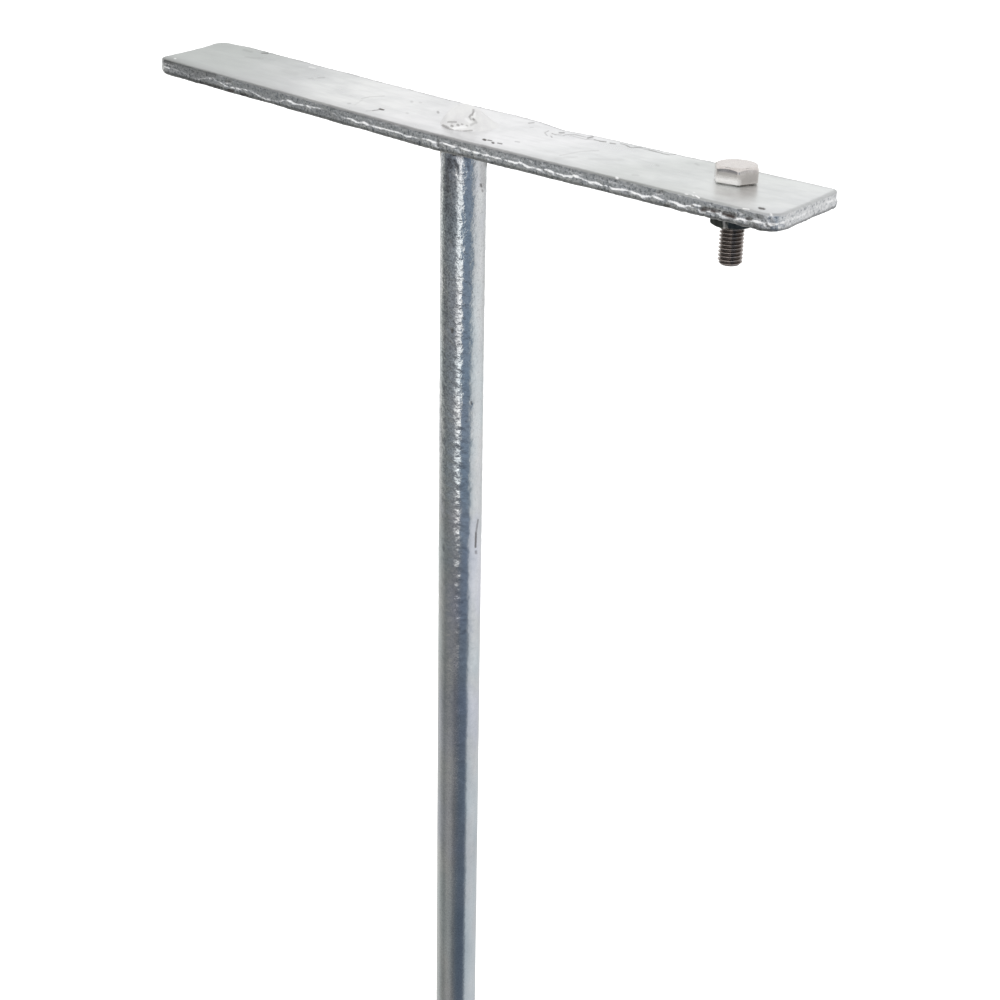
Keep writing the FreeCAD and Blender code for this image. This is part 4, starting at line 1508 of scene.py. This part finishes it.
def dome_material():
    """Galvanised weld metal of the dome, with painted shade in its folds and on its left flank and painted
    highlights at its near foot.
    """
    material, tree = new_material("zinc_dome")
    place = place_socket(tree)
    seen = mark_place(tree, place)
    dark = mark_socket(tree, seen, DOME_DARK)
    patches = noise_socket(tree, place, 5, 3.0, 0.6)
    grain = noise_socket(tree, place, 0.8, 3.0, 0.6)
    colour = ramp_socket(tree, patches, [(0.3, (0.77, 0.765, 0.77)), (0.7, (0.86, 0.86, 0.85))])
    # Painted highlights
    colour = mix_socket(tree, mark_socket(tree, seen, DOME_BRIGHT), colour, HIGHLIGHT_COLOUR)
    # Folds and pits, with painted shade in the folds and on the left flank
    colour = mix_socket(tree, dark, colour, STAIN_AND_SHADE_COLOUR)
    shine = varied_socket(tree, patches, 0.28, 0.38)
    metal = marked_socket(tree, dark, 1.0, DARK_MARK_METAL)
    set_shader(tree, colour, shine, metal, bump_socket(tree, grain, 0.04, 0.6))
    return material


def bead_material():
    """Blotchy weld metal of the bead, dark with soot and painted shade in front and with the shaft's painted
    shade under the crossbar.
    """
    material, tree = new_material("zinc_bead")
    place = place_socket(tree)
    patches = noise_socket(tree, place, 2.6, 3.0, 0.6)
    grain = noise_socket(tree, place, 0.8, 3.0, 0.6)
    clean = ramp_socket(tree, patches, [(0.3, (0.38, 0.38, 0.36)), (0.7, (0.62, 0.61, 0.58))])
    # Soot and painted shade in front
    sooty_and_shaded = ramp_socket(tree, patches, [(0.34, (0.12, 0.12, 0.12)), (0.50, (0.42, 0.42, 0.42)),
                                        (0.66, (0.66, 0.65, 0.64))])
    colour = mix_socket(tree, attribute_socket(tree, "soot_and_shade"), clean, sooty_and_shaded)
    # The shaft's marks and painted shade under the crossbar
    dark = mark_socket(tree, mark_place(tree, place), SHAFT_DARK)
    colour = mix_socket(tree, dark, colour, STAIN_AND_SHADE_COLOUR)
    normal = bump_socket(tree, grain, 0.10, 1.0, bump_socket(tree, patches, 0.3, 0.8))
    set_shader(tree, colour, varied_socket(tree, patches, 0.45, 0.30), 1.0, normal)
    return material


def bolt_material():
    """Warm stainless steel with faint scuffs, darker on the shank, with painted shade in its thread's
    grooves, on the thread's right side and on the head's right face, and painted highlights on the head's
    left face.
    """
    material, tree = new_material("stainless_bolt")
    place = place_socket(tree)
    scuffs = noise_socket(tree, place, 1.6, 4.0, 0.6)
    grain = noise_socket(tree, place, 0.35, 2.0)
    colour = ramp_socket(tree, scuffs, [(0.3, (0.62, 0.58, 0.555)), (0.7, (0.74, 0.70, 0.675))])
    shank = maths_socket(tree, "MULTIPLY", attribute_socket(tree, "shank"), 0.9)
    colour = mix_socket(tree, shank, colour, (0.60, 0.53, 0.49))
    # Painted shade in the thread's grooves
    colour = mix_socket(tree, attribute_socket(tree, "groove"), colour, (0.14, 0.12, 0.11))
    seen = mark_place(tree, place)
    bright = mark_socket(tree, seen, BOLT_BRIGHT)
    # Painted highlights on the head's left face
    colour = mix_socket(tree, bright, colour, (0.97, 0.95, 0.93))
    # Painted shade on the thread's right side and the head's right face
    colour = mix_socket(tree, mark_socket(tree, seen, BOLT_DARK), colour, STAIN_AND_SHADE_COLOUR)
    shine = varied_socket(tree, scuffs, 0.16, 0.26)
    metal = marked_socket(tree, bright, 1.0, 0.2)
    set_shader(tree, colour, shine, metal, bump_socket(tree, grain, 0.012, 0.5))
    return material


def nut_material():
    """Very dark steel of the nut and the spring washer, with a painted highlight on the nut's corner edge."""
    material, tree = new_material("dark_nut")
    place = place_socket(tree)
    nut_tone = noise_socket(tree, place, 1.8, 3.0, 0.6)
    grain = noise_socket(tree, place, 0.4, 2.0)
    colour = ramp_socket(tree, nut_tone, [(0.3, (0.05, 0.056, 0.052)), (0.7, (0.12, 0.127, 0.12))])
    # Painted highlight on the nut's corner edge
    edge = mark_socket(tree, mark_place(tree, place), NUT_BRIGHT)
    colour = mix_socket(tree, edge, colour, (0.80, 0.78, 0.77))
    shine = varied_socket(tree, nut_tone, 0.24, 0.36)
    set_shader(tree, colour, shine, 1.0, bump_socket(tree, grain, 0.012, 0.5))
    return material


def paint(piece, material):
    """Give a piece its material."""
    piece.data.materials.clear()
    piece.data.materials.append(material)


# Studio

CAMERA_AZIMUTH = -46.3
CAMERA_CLIP_START = 0.05
CAMERA_CLIP_END = 100.0
FLOOR_HALF = 30.0
FLOOR_COLOUR = (0.86, 0.86, 0.86)
FLOOR_GLOW = 0.35
SUN_STRENGTH = 1.0
SUN_ANGLE = 32.0
SUN_AZIMUTH = -115.0
SUN_ELEVATION = 55.0

# What stands round the object by direction, in degrees to the right of the camera as the camera
# sees it: at about the camera's height, below that, and lower still
UPPER_BAND = [
    (-180, (0.80, 0.80, 0.78)), (-150, (0.76, 0.76, 0.74)), (-136, (0.80, 0.80, 0.78)),
    (-126, (0.64, 0.64, 0.61)), (-114, (0.27, 0.28, 0.27)), (-100, (0.19, 0.195, 0.20)),
    (-86, (0.21, 0.22, 0.23)), (-76, (0.27, 0.285, 0.30)), (-52, (0.30, 0.315, 0.34)),
    (-34, (0.38, 0.39, 0.41)), (-28, (1.05, 1.04, 1.03)), (-18, (1.15, 1.14, 1.13)),
    (-12, (1.55, 1.54, 1.53)), (-4, (1.55, 1.54, 1.53)), (-1, (0.32, 0.37, 0.42)),
    (12, (0.25, 0.31, 0.40)), (40, (0.26, 0.32, 0.40)), (48, (0.34, 0.38, 0.42)),
    (57, (0.60, 0.61, 0.62)), (66, (0.80, 0.81, 0.82)), (85, (0.90, 0.90, 0.90)),
    (115, (0.88, 0.88, 0.88)),
    (140, (0.70, 0.70, 0.70)), (165, (0.78, 0.78, 0.77)), (180, (0.80, 0.80, 0.78)),
]
MIDDLE_BAND = [
    (-180, (0.78, 0.78, 0.76)), (-137, (0.60, 0.60, 0.58)), (-118, (0.46, 0.465, 0.45)),
    (-106, (0.38, 0.385, 0.375)), (-85, (0.22, 0.23, 0.225)), (-40, (0.22, 0.225, 0.24)),
    (-23, (0.22, 0.22, 0.24)), (-9, (0.22, 0.225, 0.245)), (10, (0.19, 0.23, 0.29)),
    (37, (0.20, 0.245, 0.31)), (47, (0.31, 0.35, 0.39)), (55, (0.66, 0.69, 0.72)),
    (74, (0.88, 0.89, 0.90)), (115, (0.88, 0.88, 0.89)), (140, (0.78, 0.78, 0.79)),
    (180, (0.78, 0.78, 0.76)),
]
LOWER_BAND = [
    (-180, (0.60, 0.60, 0.58)), (-137, (0.64, 0.64, 0.62)), (-118, (0.52, 0.52, 0.50)),
    (-106, (0.38, 0.385, 0.37)), (-82, (0.26, 0.265, 0.255)), (-58, (0.37, 0.365, 0.35)),
    (-40, (0.34, 0.34, 0.335)), (-22, (0.18, 0.185, 0.195)), (-6, (0.13, 0.15, 0.18)),
    (10, (0.11, 0.135, 0.175)), (37, (0.12, 0.145, 0.19)), (47, (0.27, 0.30, 0.34)),
    (55, (0.60, 0.63, 0.67)), (95, (0.70, 0.71, 0.73)), (140, (0.68, 0.69, 0.71)),
    (180, (0.60, 0.60, 0.58)),
]
# Heights of the directions at which one band gives way to the next
MIDDLE_FROM = -0.340
MIDDLE_FULL = -0.372
LOWER_FROM = -0.42
LOWER_FULL = -0.53
SKY = WHITE
SKY_SOFT = 0.12
# Height at which the sky starts in each direction: a dark screen stands higher at the left
SKY_START = [
    (-180, 0.0), (-130, 0.0), (-116, 0.12), (-40, 0.12), (-28, 0.02), (180, 0.0),
]


def make_camera():
    """Camera at the photograph's viewing angle."""
    right, up, forward = camera_axes()
    data = bpy.data.cameras.new("photo_camera")
    data.sensor_width = CAMERA_SENSOR
    data.lens = CAMERA_LENS
    data.clip_start = CAMERA_CLIP_START
    data.clip_end = CAMERA_CLIP_END
    camera = add_object("photo_camera", data)
    turn = Matrix((right, up, -forward)).transposed().to_4x4()
    camera.matrix_world = Matrix.Translation(CAMERA_PLACE) @ turn
    bpy.context.scene.camera = camera


def band_socket(tree, share, band):
    """Ramp over a band of directions from -180 to 180 degrees."""
    return ramp_socket(tree, share, [((angle + 180) / 360, colour) for angle, colour in band])


def make_world():
    """Soft studio surroundings as the metal sees them, and plain white for the camera."""
    world = bpy.data.worlds.new("studio")
    bpy.context.scene.world = world
    world.use_nodes = True
    tree = world.node_tree
    tree.nodes.clear()
    direction = tree.nodes.new("ShaderNodeTexCoord").outputs["Generated"]
    height = axis_socket(tree, direction, "Z")
    angle = maths_socket(tree, "ARCTAN2", axis_socket(tree, direction, "Y"),
                         axis_socket(tree, direction, "X"))
    angle = maths_socket(tree, "SUBTRACT", angle, math.radians(CAMERA_AZIMUTH))
    angle = maths_socket(tree, "WRAP", angle, math.pi, -math.pi)
    share = range_socket(tree, angle, -math.pi, math.pi, 0.0, 1.0)
    around = band_socket(tree, share, UPPER_BAND)
    for start, full, band in ((MIDDLE_FROM, MIDDLE_FULL, MIDDLE_BAND), (LOWER_FROM, LOWER_FULL, LOWER_BAND)):
        reached = range_socket(tree, height, start, full, 0, 1)
        around = mix_socket(tree, reached, around, band_socket(tree, share, band))
    start = band_socket(tree, share, [(angle, (rise, rise, rise)) for angle, rise in SKY_START])
    above = maths_socket(tree, "SUBTRACT", height, start)
    around = mix_socket(tree, range_socket(tree, above, 0, SKY_SOFT, 0, 1), around, SKY)
    seen = tree.nodes.new("ShaderNodeLightPath").outputs["Is Camera Ray"]
    background = node_with(tree, "ShaderNodeBackground", {"Color": mix_socket(tree, seen, around, WHITE)})
    node_with(tree, "ShaderNodeOutputWorld", {"Surface": background.outputs["Background"]})


def floor_material():
    """Pale floor that reads white to the camera and still takes the object's shadow."""
    material, tree = new_material("pale_floor")
    tree.nodes.clear()
    diffuse = node_with(tree, "ShaderNodeBsdfDiffuse", {"Color": FLOOR_COLOUR})
    seen = tree.nodes.new("ShaderNodeLightPath").outputs["Is Camera Ray"]
    glow = node_with(tree, "ShaderNodeEmission", {
        "Strength": maths_socket(tree, "MULTIPLY", seen, FLOOR_GLOW)})
    both = node_with(tree, "ShaderNodeAddShader", {
        0: diffuse.outputs["BSDF"], 1: glow.outputs["Emission"]})
    node_with(tree, "ShaderNodeOutputMaterial", {"Surface": both.outputs["Shader"]})
    return material


def make_floor():
    """Wide pale floor under the rod's tip."""
    mesh = bpy.data.meshes.new("studio_floor")
    z = cad_low.z
    corners = [(-FLOOR_HALF, -FLOOR_HALF, z), (FLOOR_HALF, -FLOOR_HALF, z),
               (FLOOR_HALF, FLOOR_HALF, z), (-FLOOR_HALF, FLOOR_HALF, z)]
    mesh.from_pydata(corners, [], [(0, 1, 2, 3)])
    mesh.materials.append(floor_material())
    floor = add_object("studio_floor", mesh)
    floor.visible_glossy = False


def make_sun():
    """One wide soft lamp above and to the left of the camera."""
    data = bpy.data.lights.new("soft_lamp", "SUN")
    data.energy = SUN_STRENGTH
    data.angle = math.radians(SUN_ANGLE)
    lamp = add_object("soft_lamp", data)
    elevation = math.radians(SUN_ELEVATION)
    toward = polar(math.cos(elevation), math.radians(SUN_AZIMUTH), math.sin(elevation))
    lamp.rotation_mode = "QUATERNION"
    lamp.rotation_quaternion = toward.to_track_quat("Z", "Y")
    lamp.visible_glossy = False


def main():
    """Build the pieces, their materials and the studio."""
    bpy.context.scene.view_settings.view_transform = "Standard"
    make_camera()
    paint(make_crossbar(), bar_material())
    paint(make_shaft(), shaft_material())
    paint(make_fillet_weld(), bead_material())
    paint(make_plug_weld(), dome_material())
    nut_steel = nut_material()
    paint(make_bolt(), bolt_material())
    paint(make_nut(), nut_steel)
    paint(make_spring_washer(), nut_steel)
    make_world()
    make_floor()
    make_sun()


main()
